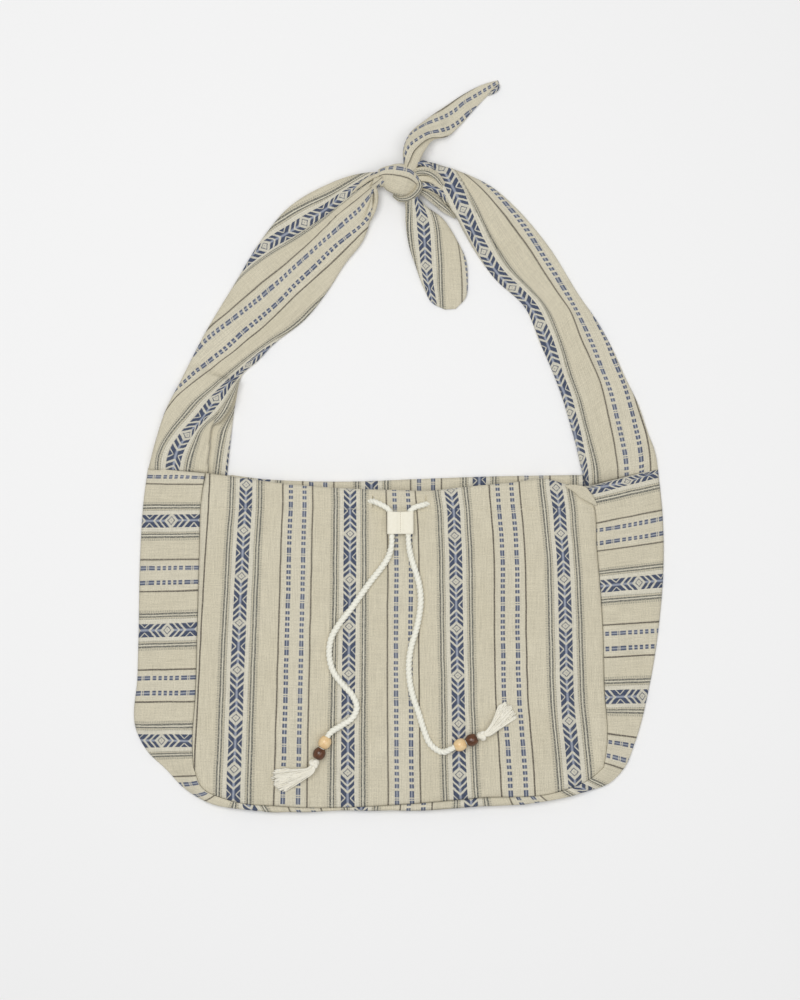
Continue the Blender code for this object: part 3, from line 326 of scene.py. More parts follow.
# Straps and their tails. Heights are (share of the length, height) of the underside and of the top.
# A fold is a route on the sheet, then its step, how far that fades, and its two runs. Pleats is the
# height of the small pleats at the knot, end the length of a rounded tip, and seed that of the lumps.
STRAPS = {
    "left_strap_cloth": {
        "outer": LEFT_STRAP_OUTER, "inner": LEFT_STRAP_INNER, "stripes": LEFT_STRAP_STRIPES,
        "heights": ([(0, 0.1), (0.7, 0.1), (0.86, 3.5), (1, 7.5)],
                    [(0, 3.4), (0.03, 5.8), (0.15, 4.4), (0.6, 4.2), (0.8, 8.5), (0.92, 16.5), (1, 18)]),
        "folds": [([(206.5, 476), (208.5, 448), (211.5, 426), (222.5, 415.5), (230, 404.3),
                    (234.7, 393), (239, 381)], 6.4, 60, 3, 2),
                  ([(384, 178), (370, 184), (352, 197), (330, 213.5), (312, 226), (290, 239.5),
                    (265, 255), (248, 268)], 2.8, 14, 1, 70),
                  ([(378, 176), (373, 186), (372, 200), (366, 216), (357, 232)], 2.6, 7, 1, 20)],
        "pleats": 0.7, "seed": 16},
    "right_strap_cloth": {
        "outer": RIGHT_STRAP_OUTER, "inner": RIGHT_STRAP_INNER, "stripes": RIGHT_STRAP_STRIPES,
        "heights": ([(0, 0.1), (0.7, 0.1), (0.86, 3.0), (1, 8.0)],
                    [(0, 3.4), (0.03, 5.8), (0.15, 4.6), (0.6, 4.4), (0.8, 8), (0.92, 13.5), (1, 14)]),
        "folds": [([(508, 264), (492, 241), (478, 216), (467, 197), (462.5, 187), (455, 173),
                    (446, 163)], 3.0, 12, 26, 1),
                  ([(426, 163), (434, 174), (443, 191), (452.5, 211), (461, 230), (470, 250)],
                   3.2, 14, 1, 14)],
        "pleats": 0.4, "seed": 17},
    "pointed_tail_cloth": {
        "outer": POINTED_TAIL_LEFT, "inner": POINTED_TAIL_RIGHT, "stripes": POINTED_TAIL_STRIPES,
        "heights": ([(0, 12), (0.15, 12.5), (0.35, 5), (0.6, 0.3), (1, 0.3)],
                    [(0, 19.5), (0.15, 19), (0.35, 11), (0.6, 4.4), (1, 2.4)]),
        "folds": [([(408, 168), (412, 155), (418, 147.5), (430, 138.5), (443, 136.5), (452, 134)],
                   2.8, 30, 6, 8)],
        "rows": 80, "end": 2.5, "seed": 18},
    "leaf_tail_cloth": {
        "outer": LEAF_TAIL_LEFT, "inner": LEAF_TAIL_RIGHT, "stripes": LEAF_TAIL_STRIPES,
        "heights": ([(0, 9), (0.15, 6.5), (0.35, 1.5), (0.5, 0.3), (1, 0.3)],
                    [(0, 16), (0.15, 15), (0.35, 8), (0.6, 5.2), (1, 3.2)]),
        "folds": [], "rows": 90, "end": 5, "seed": 15},
}

# Raised folds. Each has its route on the sheet with heights, its half widths and half heights along
# it, and the stretch of the cloth's repeat that it shows.
CORNER_FOLD = (
    [(564.5, 486, 15.9), (573, 488, 17.0), (580.5, 491.5, 17.2), (588.5, 498, 16.6), (596, 505, 14.9)],
    (0.5, 3.0, 4.9, 3.4, 0.7), (0.6, 1.3, 1.5, 1.3, 0.6), (20, 30))
KNOT_FOLDS = [
    ("knot_wrap", (
        [(380.5, 179, 12.5), (385, 178.3, 13.7), (391, 179, 14.5), (399, 180.8, 14.8), (406, 182.6, 14),
         (412, 184.8, 12.5), (416.5, 187.5, 10.5)],
        (7.2, 9.6, 11.8, 13.2, 12.8, 9.6, 5.5), (5.4, 6.8, 8.0, 8.6, 8.0, 6.2, 4.0), (15.3, 44.7)),
     {"v_start": 1.0, "wobble": 0.12}),
    ("left_lip_fold", (
        [(239.5, 379.5, 9.0), (236.8, 385.5, 11.0), (233.4, 393.5, 12.2), (229.2, 402.5, 12.8),
         (224.4, 411.5, 12.6), (218.2, 419.5, 11.4), (211.5, 425.5, 8)],
        (0.6, 1.5, 2.4, 3.0, 3.0, 2.4, 0.6), (1.4, 1.9, 2.2, 2.3, 2.3, 2.0, 1.2), (9.0, 16.6)),
     {"v_start": 2.0}),
    ("knot_roll", (
        [(394, 196, 9), (400, 199.5, 11.5), (408, 199, 13.5), (415, 194.5, 15), (419.5, 187.5, 15),
         (418, 180.5, 13)],
        (1.4, 2.2, 2.6, 2.7, 2.6, 2.0), (2.2, 3.0, 3.4, 3.6, 3.4, 2.6), (10.0, 17.5)), {}),
    ("neck_fold_top", (
        [(408, 171, 13), (414, 166.5, 14.5), (421, 164, 15), (428, 166.5, 14.5), (434, 172, 13)],
        (1.4, 2.0, 2.3, 2.3, 1.6), (1.8, 2.4, 2.6, 2.4, 1.6), (-5, 6)), {"v_start": 9.0}),
    ("neck_fold_lines", (
        [(409, 177, 13), (418, 172.5, 14.5), (427, 172.5, 15), (436, 177.5, 14.5), (443, 186, 12.5)],
        (2.2, 3.2, 3.6, 3.4, 2.2), (2.6, 3.2, 3.4, 3.0, 2.0), (9.4, 19)), {}),
    ("neck_fold_plain", (
        [(411, 183, 12), (420, 179.5, 13.5), (430, 181, 14), (439, 187.5, 12.5), (446, 196, 10.5)],
        (1.8, 2.4, 2.6, 2.4, 1.6), (2.4, 2.8, 3.0, 2.6, 1.6), (20, 26)), {}),
    ("neck_fold_motif", (
        [(414, 185, 11.5), (422, 185.5, 13), (432, 188.5, 13.5), (442, 194, 12), (449, 202, 10)],
        (1.6, 2.4, 2.8, 2.6, 1.6), (2.2, 2.8, 3.0, 2.6, 1.8), (-5, 5)), {"v_start": 4.0}),
    ("neck_fold_low", (
        [(416, 188.5, 8), (426, 194, 9.5), (437, 202.5, 9.5), (447, 210.5, 7.5), (455, 217, 5)],
        (1.8, 3.0, 3.6, 3.0, 1.2), (2.2, 3.0, 3.2, 2.6, 1.4), (8, 17)), {}),
    ("left_neck_roll", (
        [(352, 193, 8), (361, 185, 10.5), (370, 179.5, 13.5), (378, 177, 15.8), (386, 176, 15.5)],
        (0.8, 1.5, 1.9, 2.2, 2.0), (1.4, 1.8, 2.2, 2.6, 2.2), (22, 26)), {}),
    ("left_neck_fold", (
        [(367, 224, 5), (372.5, 213, 8), (376, 202, 10.5), (375.8, 193, 13), (374.3, 187, 15),
         (376.5, 181.5, 16), (382, 179.5, 15)],
        (0.8, 1.5, 1.8, 1.8, 1.7, 1.6, 1.2), (1.4, 2.2, 2.4, 2.4, 2.2, 2.0, 1.4), (22, 27)), {}),
    ("tail_tip", (
        [(488, 94, 2.2), (493, 91, 2.6), (497, 87.5, 2.8), (499, 83.5, 2.6)],
        (0.8, 1.5, 1.7, 1.2), (0.8, 1.3, 1.4, 1.0), (-4, 4)), {"rows": 30}),
]

# Stripes across the gusset: number of the motif, and where it meets the seam and the outline
GUSSET_MOTIFS = [
    (-0.53, (205, 468.5), (147, 465.5)), (-0.434, (204.8, 477.3), (146.5, 476.3)),
    (-0.355, (204.6, 485), (146, 484.2)), (0, (201, 520), (141, 521)), (1, (197.5, 629), (138, 631)),
    (2, (193, 741), (137, 742)), (3, (248, 805), (252, 813)), (4, (361, 806), (361, 812)),
    (5, (471.5, 800), (471.5, 809)), (6, (578, 787), (590, 796)), (7, (606, 697), (648.5, 696)),
    (8, (601, 585.5), (662.5, 580.8)), (9, (590, 488), (659.5, 471.6)),
    (9.08, (586, 480), (658.6, 467))]


def smoothstep(value):
    """Ease from 0 to 1 as value goes from 0 to 1."""
    value = np.clip(value, 0.0, 1.0)
    return value * value * (3.0 - 2.0 * value)


def fading(distance, reach):
    """1 up to distance 0, fading beyond it over the given reach."""
    return np.exp(-np.clip(distance, 0, None) / reach)


def bell(value, centre, width, power=2):
    """1 at the centre, falling to 0 on both sides."""
    return np.exp(-((value - centre) / width) ** power)


def quarter_round(share):
    """Height of a quarter circle as share goes from 0 to 1."""
    return np.sqrt(1 - (1 - np.clip(share, 0, 1)) ** 2)


def boxy(value, power):
    """Sine or cosine bent towards a box, with its sign kept."""
    return np.sign(value) * np.abs(value) ** power


def unit(vectors):
    """Vectors of length 1 in the same directions."""
    return vectors / np.linalg.norm(vectors, axis=-1, keepdims=True)


def sheet_xy(points):
    """Millimetres of places given on the 800 by 1000 sheet."""
    points = np.asarray(points, dtype=float)
    return np.column_stack([(points[:, 0] - SHEET_ORIGIN[0]) * SHEET_STEP,
                            (SHEET_ORIGIN[1] - points[:, 1]) * SHEET_STEP])


def sheet_xyz(points):
    """Millimetres of places whose x and y are given on the sheet and whose height is in millimetres."""
    points = np.asarray(points, dtype=float)
    return np.column_stack([sheet_xy(points[:, :2]), points[:, 2]])


def chord_places(points):
    """Distance of each point from the first, measured along straight chords."""
    steps = np.linalg.norm(np.diff(points, axis=0), axis=1)
    return np.concatenate([[0.0], np.cumsum(steps)])


def curve_at(points, where):
    """Positions on a smooth curve through the points, at distances along its chords."""
    points = np.asarray(points, dtype=float)
    where = np.asarray(where, dtype=float)
    at = chord_places(points)
    gap = np.diff(at)[:, None]
    slope = np.diff(points, axis=0) / gap
    inner = (slope[:-1] * gap[1:] + slope[1:] * gap[:-1]) / (gap[1:] + gap[:-1])
    tangent = np.vstack([slope[:1], inner, slope[-1:]])
    span = np.clip(np.searchsorted(at, where, side="right") - 1, 0, len(points) - 2)
    t = ((where - at[span]) / gap[span, 0])[:, None]
    return ((2 * t**3 - 3 * t**2 + 1) * points[span] + (t**3 - 2 * t**2 + t) * gap[span] * tangent[span]
            + (3 * t**2 - 2 * t**3) * points[span + 1] + (t**3 - t**2) * gap[span] * tangent[span + 1])


def shares_on(points, shares):
    """Points of the smooth curve at the given shares of its length."""
    total = chord_places(points)[-1]
    fine = curve_at(points, np.linspace(0.0, total, 40 * len(points)))
    length = chord_places(fine)
    wanted = np.asarray(shares, dtype=float) * length[-1]
    return np.column_stack([np.interp(wanted, length, column) for column in fine.T])


def even_points(points, count):
    """Evenly spaced points on the smooth curve through the given ones."""
    return shares_on(points, np.linspace(0.0, 1.0, count))


def paired_points(points, count):
    """Points on the smooth curve, spaced by the number of the given point and not by length."""
    index = np.arange(len(points))
    where = np.interp(np.linspace(0, index[-1], count), index, chord_places(points))
    return curve_at(points, where)


def nearest_on(points, route):
    """Vectors from a route to points, their signed length (positive to the left), and how far along."""
    line = even_points(route, 90)
    start, step = line[:-1], np.diff(line, axis=0)
    length = np.linalg.norm(step, axis=1)
    relative = points[:, None, :] - start[None]
    share = np.clip((relative * step).sum(2) / length**2, 0, 1)
    miss = relative - share[..., None] * step
    distance = np.linalg.norm(miss, axis=2)
    nearest = distance.argmin(1)
    row = np.arange(len(points))
    away = miss[row, nearest]
    side = step[nearest, 0] * away[:, 1] - step[nearest, 1] * away[:, 0]
    along = np.concatenate([[0], np.cumsum(length)])[nearest] + share[row, nearest] * length[nearest]
    return away, np.where(side >= 0, 1.0, -1.0) * distance[row, nearest], along


def beside_route(points, route):
    """Signed distance of points from a route, positive to its left, and how far along they are."""
    return nearest_on(points, route)[1:]


def fold_step(flat, route, step, fade, run_in, run_out):
    """Rise, and sideways shift, of cloth that folds over along a route, raised on its left side.

    The step fades to the left over the given distance, and starts and ends over the two runs.
    """
    line = sheet_xy(route)
    away, side, place = nearest_on(flat.reshape(-1, 2), line)
    length = chord_places(line)[-1]
    strength = smoothstep((place + 0.01) / run_in) * smoothstep((length - place + 0.01) / run_out)
    over = smoothstep((side + 0.4) / 0.8)
    rise = step * over * fading(side, fade)
    rise -= min(step, 2.0) * 0.55 * (1 - over) * fading(-side, 2.0)
    lip = fading(side, 1.8) * np.where(side > 0, 1.0, 0.0)
    size = np.maximum(np.abs(side), 0.3)[:, None]
    shift = -away / size * (lip * strength * min(0.45 * step, 1.6))[:, None]
    return (rise * strength).reshape(flat.shape[:2]), shift.reshape(flat.shape)


def ripple(x, y, size, seed):
    """Smooth unevenness of about -1 to 1, with lumps of about the given size."""
    rng = np.random.default_rng(seed)
    total = np.zeros(np.broadcast(x, y).shape)
    for _ in range(7):
        angle, phase = rng.uniform(0, FULL_TURN, 2)
        pitch = size * rng.uniform(0.7, 1.6)
        total = total + np.sin((x * math.cos(angle) + y * math.sin(angle)) * FULL_TURN / pitch + phase)
    return total / 3.2


class Wire:
    """A value in a material's node tree. Arithmetic on it adds math nodes."""

    def __init__(self, tree, socket):
        self.tree, self.socket = tree, socket

    def math(self, operation, *others, clamp=False):
        node = self.tree.nodes.new("ShaderNodeMath")
        node.operation = operation
        node.use_clamp = clamp
        for slot, value in enumerate((self, *others)):
            feed(self.tree, value, node.inputs[slot])
        return Wire(self.tree, node.outputs[0])

    def __add__(self, other):
        return self.math("ADD", other)

    def __sub__(self, other):
        return self.math("SUBTRACT", other)

    def __mul__(self, other):
        return self.math("MULTIPLY", other)

    def edge(self, at, soft=0.12):
        """0 below the given value and 1 above it, with a soft step."""
        node = self.tree.nodes.new("ShaderNodeMapRange")
        node.interpolation_type = "SMOOTHSTEP"
        feed(self.tree, self, node.inputs["Value"])
        node.inputs["From Min"].default_value = at - soft
        node.inputs["From Max"].default_value = at + soft
        return Wire(self.tree, node.outputs["Result"])

    def band(self, low, high, soft=0.12):
        """1 between the two given values and 0 elsewhere."""
        return self.edge(low, soft) * (self.edge(high, soft) * -1.0 + 1.0)

    def folded(self, half):
        """Distance from the nearest whole repeat, whose half is given."""
        return self.math("PINGPONG", half)

    def snapped(self, pitch):
        """Middle of the yarn that the value falls in."""
        return self.math("SNAP", pitch) + pitch / 2


def feed(tree, value, socket):
    """Link a value into a socket, or set the socket to a number or colour."""
    if isinstance(value, Wire):
        tree.links.new(value.socket, socket)
    elif isinstance(value, tuple):
        socket.default_value = (*value, 1.0)
    else:
        socket.default_value = value


def mix(tree, share, first, second, kind="MIX"):
    """Blend two colours by a share."""
    node = tree.nodes.new("ShaderNodeMix")
    node.data_type = "RGBA"
    node.blend_type = kind
    feed(tree, share, node.inputs["Factor"])
    feed(tree, first, node.inputs[6])
    feed(tree, second, node.inputs[7])
    return Wire(tree, node.outputs[2])


def noise(tree, vector, scale, detail=2.0, roughness=0.5):
    """Value of a noise texture."""
    node = tree.nodes.new("ShaderNodeTexNoise")
    node.inputs["Scale"].default_value = scale
    node.inputs["Detail"].default_value = detail
    node.inputs["Roughness"].default_value = roughness
    tree.links.new(vector.socket, node.inputs["Vector"])
    return Wire(tree, node.outputs["Fac"])


def vector(tree, x, y, z=0.0):
    """Vector of three values."""
    node = tree.nodes.new("ShaderNodeCombineXYZ")
    for slot, value in enumerate((x, y, z)):
        feed(tree, value, node.inputs[slot])
    return Wire(tree, node.outputs[0])


def cloth_uv(tree):
    """Place across the stripes and place along them, in millimetres."""
    source = tree.nodes.new("ShaderNodeUVMap")
    source.uv_map = "Weave"
    split = tree.nodes.new("ShaderNodeSeparateXYZ")
    tree.links.new(source.outputs["UV"], split.inputs[0])
    return Wire(tree, split.outputs[0]) * 1000.0, Wire(tree, split.outputs[1]) * 1000.0


def rgb(red, green, blue):
    """Linear colour of a display colour given as 0 to 255."""
    values = []
    for channel in (red, green, blue):
        c = channel / 255
        values.append(c / 12.92 if c <= 0.04045 else ((c + 0.055) / 1.055) ** 2.4)
    return tuple(values)


def new_material(name, roughness, sheen=0.0):
    """Principled material, its node tree and its shader node."""
    material = bpy.data.materials.new(name)
    material.use_nodes = True
    tree = material.node_tree
    shader = tree.nodes["Principled BSDF"]
    shader.inputs["Roughness"].default_value = roughness
    shader.inputs["Specular IOR Level"].default_value = 0.25
    if sheen:
        shader.inputs["Sheen Weight"].default_value = sheen
        shader.inputs["Sheen Roughness"].default_value = 0.5
    return material, tree, shader


def add_bump(tree, shader, height, strength, distance):
    """Bump of a height value on a shader."""
    bump = tree.nodes.new("ShaderNodeBump")
    bump.inputs["Strength"].default_value = strength
    bump.inputs["Distance"].default_value = distance
    feed(tree, height, bump.inputs["Height"])
    tree.links.new(bump.outputs["Normal"], shader.inputs["Normal"])


def woven_height(u, v, pitch):
    """Height of a plain weave: warp and weft yarns in turn on top."""
    warp = (u * (math.pi / pitch)).math("SINE")
    weft = (v * (math.pi / pitch)).math("SINE")
    return warp * weft


def jacquard_material():
    """Beige cotton with woven stripes: diamond motifs, line groups, single lines and dashes."""
    material, tree, shader = new_material("striped_jacquard", 0.92, 0.08)
    u, v = cloth_uv(tree)
    place = vector(tree, u, v)
    wander = noise(tree, place, 0.05, 1.0)
    fuzz = noise(tree, place, 1.7, 2.0)
    across = u + (wander - 0.5) * 0.9 + (fuzz - 0.5) * 0.3
    along = v + (fuzz - 0.5) * 0.35
    x = across.snapped(YARN).folded(REPEAT / 2)
    b = along.snapped(YARN).folded(MOTIF_REPEAT / 2)
    c = b * -1.0 + MOTIF_REPEAT / 2

    # Ground, its pale bands and its fine ribs
    streak = noise(tree, vector(tree, u * 1.1, v * 0.05), 1.0, 3.0)
    weft = noise(tree, vector(tree, u * 0.06, v * 1.1), 1.0, 3.0)
    speckle = noise(tree, place, 1.0, 2.0)
    cloud = noise(tree, place, 0.02, 3.0)
    ground = mix(tree, cloud, rgb(206, 198, 174), rgb(216, 209, 188))
    pale = x.band(5.6, 9.3, 0.4) + x.band(34.0, 46.5, 0.9) * 0.35
    colour = mix(tree, pale.math("MINIMUM", 1.0), ground, rgb(217, 212, 195))
    rib = (u * (2 * math.pi / 1.35)).math("SINE") * 0.5 + 0.5
    colour = mix(tree, rib * x.edge(6.0, 0.5) * 0.16, colour, rgb(158, 150, 128))

    # Line group beside the motif, and the single line
    dots = (v * (math.pi / 0.95)).math("SINE") * 0.5 + 0.5
    broken = noise(tree, vector(tree, u * 1.5, v * 0.9), 1.0, 1.0)
    shown = ((broken - 0.5) * 2.2 + 0.8).math("ADD", 0.0, clamp=True)
    group = (x.band(9.0, 10.0, 0.25) * (dots * 0.5 + 0.2) + x.band(10.6, 12.0, 0.25)
             + x.band(12.95, 14.6, 0.25) + x.band(15.1, 16.6, 0.3) * (dots * 0.5 + 0.1))
    colour = mix(tree, x.band(12.1, 12.8, 0.2) * 0.6, colour, rgb(226, 222, 206))
    colour = mix(tree, group.math("MINIMUM", 1.0) * shown, colour, rgb(88, 91, 89))
    single = x.band(31.95, 33.3, 0.2) * (shown * 0.6 + 0.4)
    colour = mix(tree, single.math("MINIMUM", 1.0), colour, rgb(92, 86, 78))

    # Two rows of dashes, each with a light yarn in its middle
    row = (x - 39.8).math("ABSOLUTE")
    dash = (c.band(-1.0, 0.5) * 0.7 + c.band(1.25, 6.15) + c.band(8.2, 11.15)
            + c.band(12.95, 15.9) + c.band(17.7, 20.0))
    colour = mix(tree, dash * row.band(-1.0, 1.85), colour, rgb(156, 160, 168))
    colour = mix(tree, dash * row.band(0.5, 1.7) * (speckle * 0.5 + 0.65), colour, rgb(74, 83, 106))

    # Diamond motif between chevrons, and the crossed block between two diamonds
    a = x * (1 / 5.5)
    q = b - (a * -4.84 + 4.84)
    inside = x.band(-1.0, 5.6, 0.14)
    colour = mix(tree, inside, colour, rgb(204, 200, 185))
    dark = (q.band(1.2, 4.25) + q.band(5.95, 9.05) + q.edge(11.1) + q.band(-2.3, -1.5) * 0.9
            + q.band(-6.0, -4.15) * 0.4)
    chevron = (c - (a - 0.36) * 5.4).math("ABSOLUTE")
    light_line = (chevron.edge(0.55) * -1.0 + 1.0) * a.edge(0.34, 0.05)
    dark = dark * (light_line * -1.0 + 1.0)
    navy = mix(tree, speckle, rgb(54, 63, 88), rgb(88, 97, 116))
    centre = (a.edge(0.16, 0.1) * -1.0 + 1.0) * q.edge(1.2)
    blue = mix(tree, centre, navy, rgb(150, 156, 170))
    colour = mix(tree, dark.math("MINIMUM", 1.0) * inside, colour, blue)

    # Yarns: slubs of random tone, and painted shade in the dips of the weave between them, with painted
    # highlight on the raised yarns
    weave = woven_height(u, v, YARN)
    # streak, weft and speckle are the yarns' own tone; weave * 0.06 is painted shade and highlight that
    # follows the weave's height
    slub_tone_and_weave_shade = (streak - 0.5) * 0.42 + (weft - 0.5) * 0.3 + (speckle - 0.5) * 0.5 + weave * 0.06 + 1.0
    colour = mix(tree, 1.0, colour, vector(tree, slub_tone_and_weave_shade, slub_tone_and_weave_shade, slub_tone_and_weave_shade), "MULTIPLY")
    tree.links.new(colour.socket, shader.inputs["Base Color"])
    height = weave + (rib - 0.5) * 0.8 + streak * 1.6 + x.band(-1.0, 5.4, 0.3) * 0.9
    add_bump(tree, shader, height, 0.35, 0.00025)
    return material


def cotton_material(name, colour, fibre):
    """Pale cotton yarn with fine fibres along it."""
    material, tree, shader = new_material(name, 0.85, 0.15)
    u, v = cloth_uv(tree)
    strands = noise(tree, vector(tree, u * 3.2, v * 0.5), 1.0, 3.0)
    blotch = noise(tree, vector(tree, u, v), 0.15, 2.0)
    shaded = mix(tree, strands, rgb(*(c - 26 for c in colour)), rgb(*(min(c + 8, 255) for c in colour)))
    shaded = mix(tree, blotch * 0.3, shaded, rgb(*(c - 14 for c in colour)))
    tree.links.new(shaded.socket, shader.inputs["Base Color"])
    add_bump(tree, shader, strands, 0.5, fibre)
    return material


def slider_material():
    """Cream cotton tape with a fine cross rib."""
    material, tree, shader = new_material("cream_tape", 0.88, 0.12)
    u, v = cloth_uv(tree)
    rib = woven_height(u, v, 0.5)
    soft = noise(tree, vector(tree, u, v), 0.4, 2.0)
    colour = mix(tree, soft, rgb(240, 235, 216), rgb(250, 246, 231))
    colour = mix(tree, (rib * 0.5 + 0.5) * 0.12, colour, rgb(196, 188, 164))
    tree.links.new(colour.socket, shader.inputs["Base Color"])
    add_bump(tree, shader, rib, 0.4, 0.0002)
    return material


def wood_material(name, pale, deep, ring):
    """Turned wood with grain lines along the bead."""
    material, tree, shader = new_material(name, 0.26)
    shader.inputs["Specular IOR Level"].default_value = 0.4
    shader.inputs["Coat Weight"].default_value = 0.3
    shader.inputs["Coat Roughness"].default_value = 0.2
    source = tree.nodes.new("ShaderNodeTexCoord")
    stretch = tree.nodes.new("ShaderNodeMapping")
    stretch.inputs["Scale"].default_value = (ring, ring, ring * 0.18)
    tree.links.new(source.outputs["Object"], stretch.inputs["Vector"])
    grain = noise(tree, Wire(tree, stretch.outputs["Vector"]), 1.0, 4.0, 0.6)
    line = (grain * 26.0).math("SINE") * 0.5 + 0.5
    colour = mix(tree, line * 0.55 + grain * 0.4, rgb(*pale), rgb(*deep))
    tree.links.new(colour.socket, shader.inputs["Base Color"])
    add_bump(tree, shader, line, 0.15, 0.0001)
    return material


def add_mesh(name, points, faces, uv, material):
    """Smooth-shaded mesh from points in millimetres; uv has one place for each point."""
    mesh = bpy.data.meshes.new(name)
    mesh.from_pydata((np.asarray(points, dtype=float) * MM).tolist(), [], faces)
    shell = bmesh.new()
    shell.from_mesh(mesh)
    inside_out = shell.calc_volume(signed=True) < 0
    shell.free()
    if inside_out:
        mesh.flip_normals()
    layer = mesh.uv_layers.new(name="Weave")
    corners = np.empty(len(mesh.loops), dtype=np.int32)
    mesh.loops.foreach_get("vertex_index", corners)
    layer.data.foreach_set("uv", (np.asarray(uv, dtype=float) * MM)[corners].astype(np.float32).ravel())
    mesh.materials.append(material)
    mesh.shade_smooth()
    piece = bpy.data.objects.new(name, mesh)
    bpy.context.scene.collection.objects.link(piece)
    return piece


def grid_faces(rows, columns, first=0, flip=False, closed=False):
    """Quads of a grid of points; closed joins the last column to the first."""
    across = columns if closed else columns - 1
    r, c = np.meshgrid(np.arange(rows - 1), np.arange(across), indexing="ij")
    a = first + r * columns + c
    b = first + r * columns + (c + 1) % columns
    quads = np.stack([a, b, b + columns, a + columns], axis=-1).reshape(-1, 4)
    return (quads[:, ::-1] if flip else quads).tolist()


def grid_normals(grid):
    """Unit normals of a grid of points, from its rows and columns."""
    normal = np.cross(np.gradient(grid, axis=1), np.gradient(grid, axis=0))
    size = np.linalg.norm(normal, axis=2, keepdims=True)
    return normal / np.where(size < 1e-9, 1.0, size)


def add_cloth(name, outer, uv, material, thickness=CLOTH):
    """Sheet of cloth below an outer face given as a grid of points, with a turned rim."""
    rows, columns, _ = outer.shape
    inner = outer - grid_normals(outer) * thickness
    points = np.concatenate([outer.reshape(-1, 3), inner.reshape(-1, 3)])
    places = np.concatenate([uv.reshape(-1, 2)] * 2)
    lower = rows * columns
    index = np.arange(lower).reshape(rows, columns)
    rim = np.concatenate([index[0], index[1:, -1], index[-1, -2::-1], index[-2:0:-1, 0]])
    after = np.roll(rim, -1)
    walls = np.column_stack([after, rim, lower + rim, lower + after]).tolist()
    faces = grid_faces(rows, columns) + grid_faces(rows, columns, lower, flip=True) + walls
    return add_mesh(name, points, faces, places, material)


def tube_faces(rows, columns):
    """Faces of a closed tube of rings, with a cap at each end."""
    count = rows * columns
    caps = [list(range(columns)), list(range(count - 1, count - columns - 1, -1))]
    return grid_faces(rows, columns, closed=True, flip=True) + caps


def round_angles(count):
    """Angles evenly round a full turn."""
    return np.linspace(0, FULL_TURN, count, endpoint=False)


def ring_lengths(ring):
    """Distance of each point of a closed outline from the first, measured round it."""
    return chord_places(np.vstack([ring, ring[:1]]))[:-1]


def route_frames(path):
    """Side and upper unit vectors along a path, turned as little as possible."""
    ahead = unit(np.gradient(path, axis=0))
    side = np.empty_like(path)
    start = np.cross((0.0, 0.0, 1.0), ahead[0])
    side[0] = (1.0, 0.0, 0.0) if np.linalg.norm(start) < 1e-6 else unit(start)
    for i in range(1, len(path)):
        side[i] = unit(side[i - 1] - ahead[i] * (side[i - 1] @ ahead[i]))
    return side, np.cross(ahead, side)


def add_tube(name, path, rings, material):
    """Closed tube along a path, with one ring of (sideways, up) points for each of its points."""
    side, up = route_frames(path)
    along = chord_places(path)
    points, places = [], []
    for i, (centre, ring) in enumerate(zip(path, rings)):
        points.append(centre + ring[:, :1] * side[i] + ring[:, 1:] * up[i])
        places.append(np.column_stack([ring_lengths(ring), np.full(len(ring), along[i])]))
    faces = tube_faces(len(path), len(points[0]))
    return add_mesh(name, np.concatenate(points), faces, np.concatenate(places), material)


# Front panel, back panel and gusset
def x_at(outline, y):
    """Where an outline that runs along Y is, at the given y."""
    side = np.asarray(outline, dtype=float)
    order = np.argsort(side[:, 1])
    return np.interp(y, side[order, 1], side[order, 0])


def hem_height(x):
    """Height of the front hem's outer face: highest in the middle of the mouth."""
    share = np.clip(np.abs(x) / HEM_HALF_WIDTH, 0.0, 1.0)
    return FRONT_HEM_MIDDLE - (FRONT_HEM_MIDDLE - FRONT_HEM_END) * share**2


def seam_gaps(x, y):
    """Distance of places on the front panel from its left, right and bottom seams."""
    bottom = np.interp(x, *np.asarray(FRONT_BOTTOM, dtype=float).T)
    return x - x_at(FRONT_LEFT, y), x_at(FRONT_RIGHT, y) - x, y - bottom


def front_height(x, y):
    """Height of the front panel's outer face, crowned between its seams."""
    from_left, from_right, from_bottom = (smoothstep(gap / CROWN_WIDTH) for gap in seam_gaps(x, y))
    body = FRONT_AT_SEAM + (FRONT_CROWN - FRONT_AT_SEAM) * from_left * from_right * from_bottom
    lift = smoothstep((y - LIFT_START) / (FRONT_STITCH_Y - LIFT_START))
    return body + (hem_height(x) - body) * lift


def patch(top, bottom, left, right, across, down):
    """Grid of (x, y) places inside four edge curves, row by row from the top edge."""
    top, bottom = shares_on(top, across), shares_on(bottom, across)
    left, right = shares_on(left, down), shares_on(right, down)
    u, v = across[None, :, None], down[:, None, None]
    corners = ((1 - u) * (1 - v) * top[0] + u * (1 - v) * top[-1]
               + (1 - u) * v * bottom[0] + u * v * bottom[-1])
    return (1 - v) * top[None] + v * bottom[None] + (1 - u) * left[:, None] + u * right[:, None] - corners


def panel_stripes(x, y, shift=0.0):
    """Place in the cloth's repeat on a panel, whose stripes draw together towards the hem."""
    down = SHEET_ORIGIN[1] - y / SHEET_STEP
    right = SHEET_ORIGIN[0] + x / SHEET_STEP
    pitch = STRIPE_PITCH + (np.maximum(down, GATHER_ROW) - STRIPE_ROW) * PITCH_GROWTH
    drift = STRIPE_PLACE + (down - STRIPE_ROW) * PLACE_GROWTH + shift
    for at_x, at_y, amount, wide, high in PANEL_DRIFTS:
        drift = drift + amount * bell(right, at_x, wide) * bell(down, at_y, high)
    repeats = np.clip((right - drift) / pitch, FIRST_REPEAT, LAST_REPEAT + shift * REPEAT_SHIFT)
    return repeats * REPEAT + REPEAT / 2


def panel_motifs(x, y):
    """Place along the stripes of the front panel, in millimetres from a motif."""
    down = SHEET_ORIGIN[1] - y / SHEET_STEP - np.interp(x, MOTIF_STRIPES, MOTIF_DROPS)
    return np.interp(down, MOTIF_ROWS, np.arange(len(MOTIF_ROWS)) * MOTIF_REPEAT)


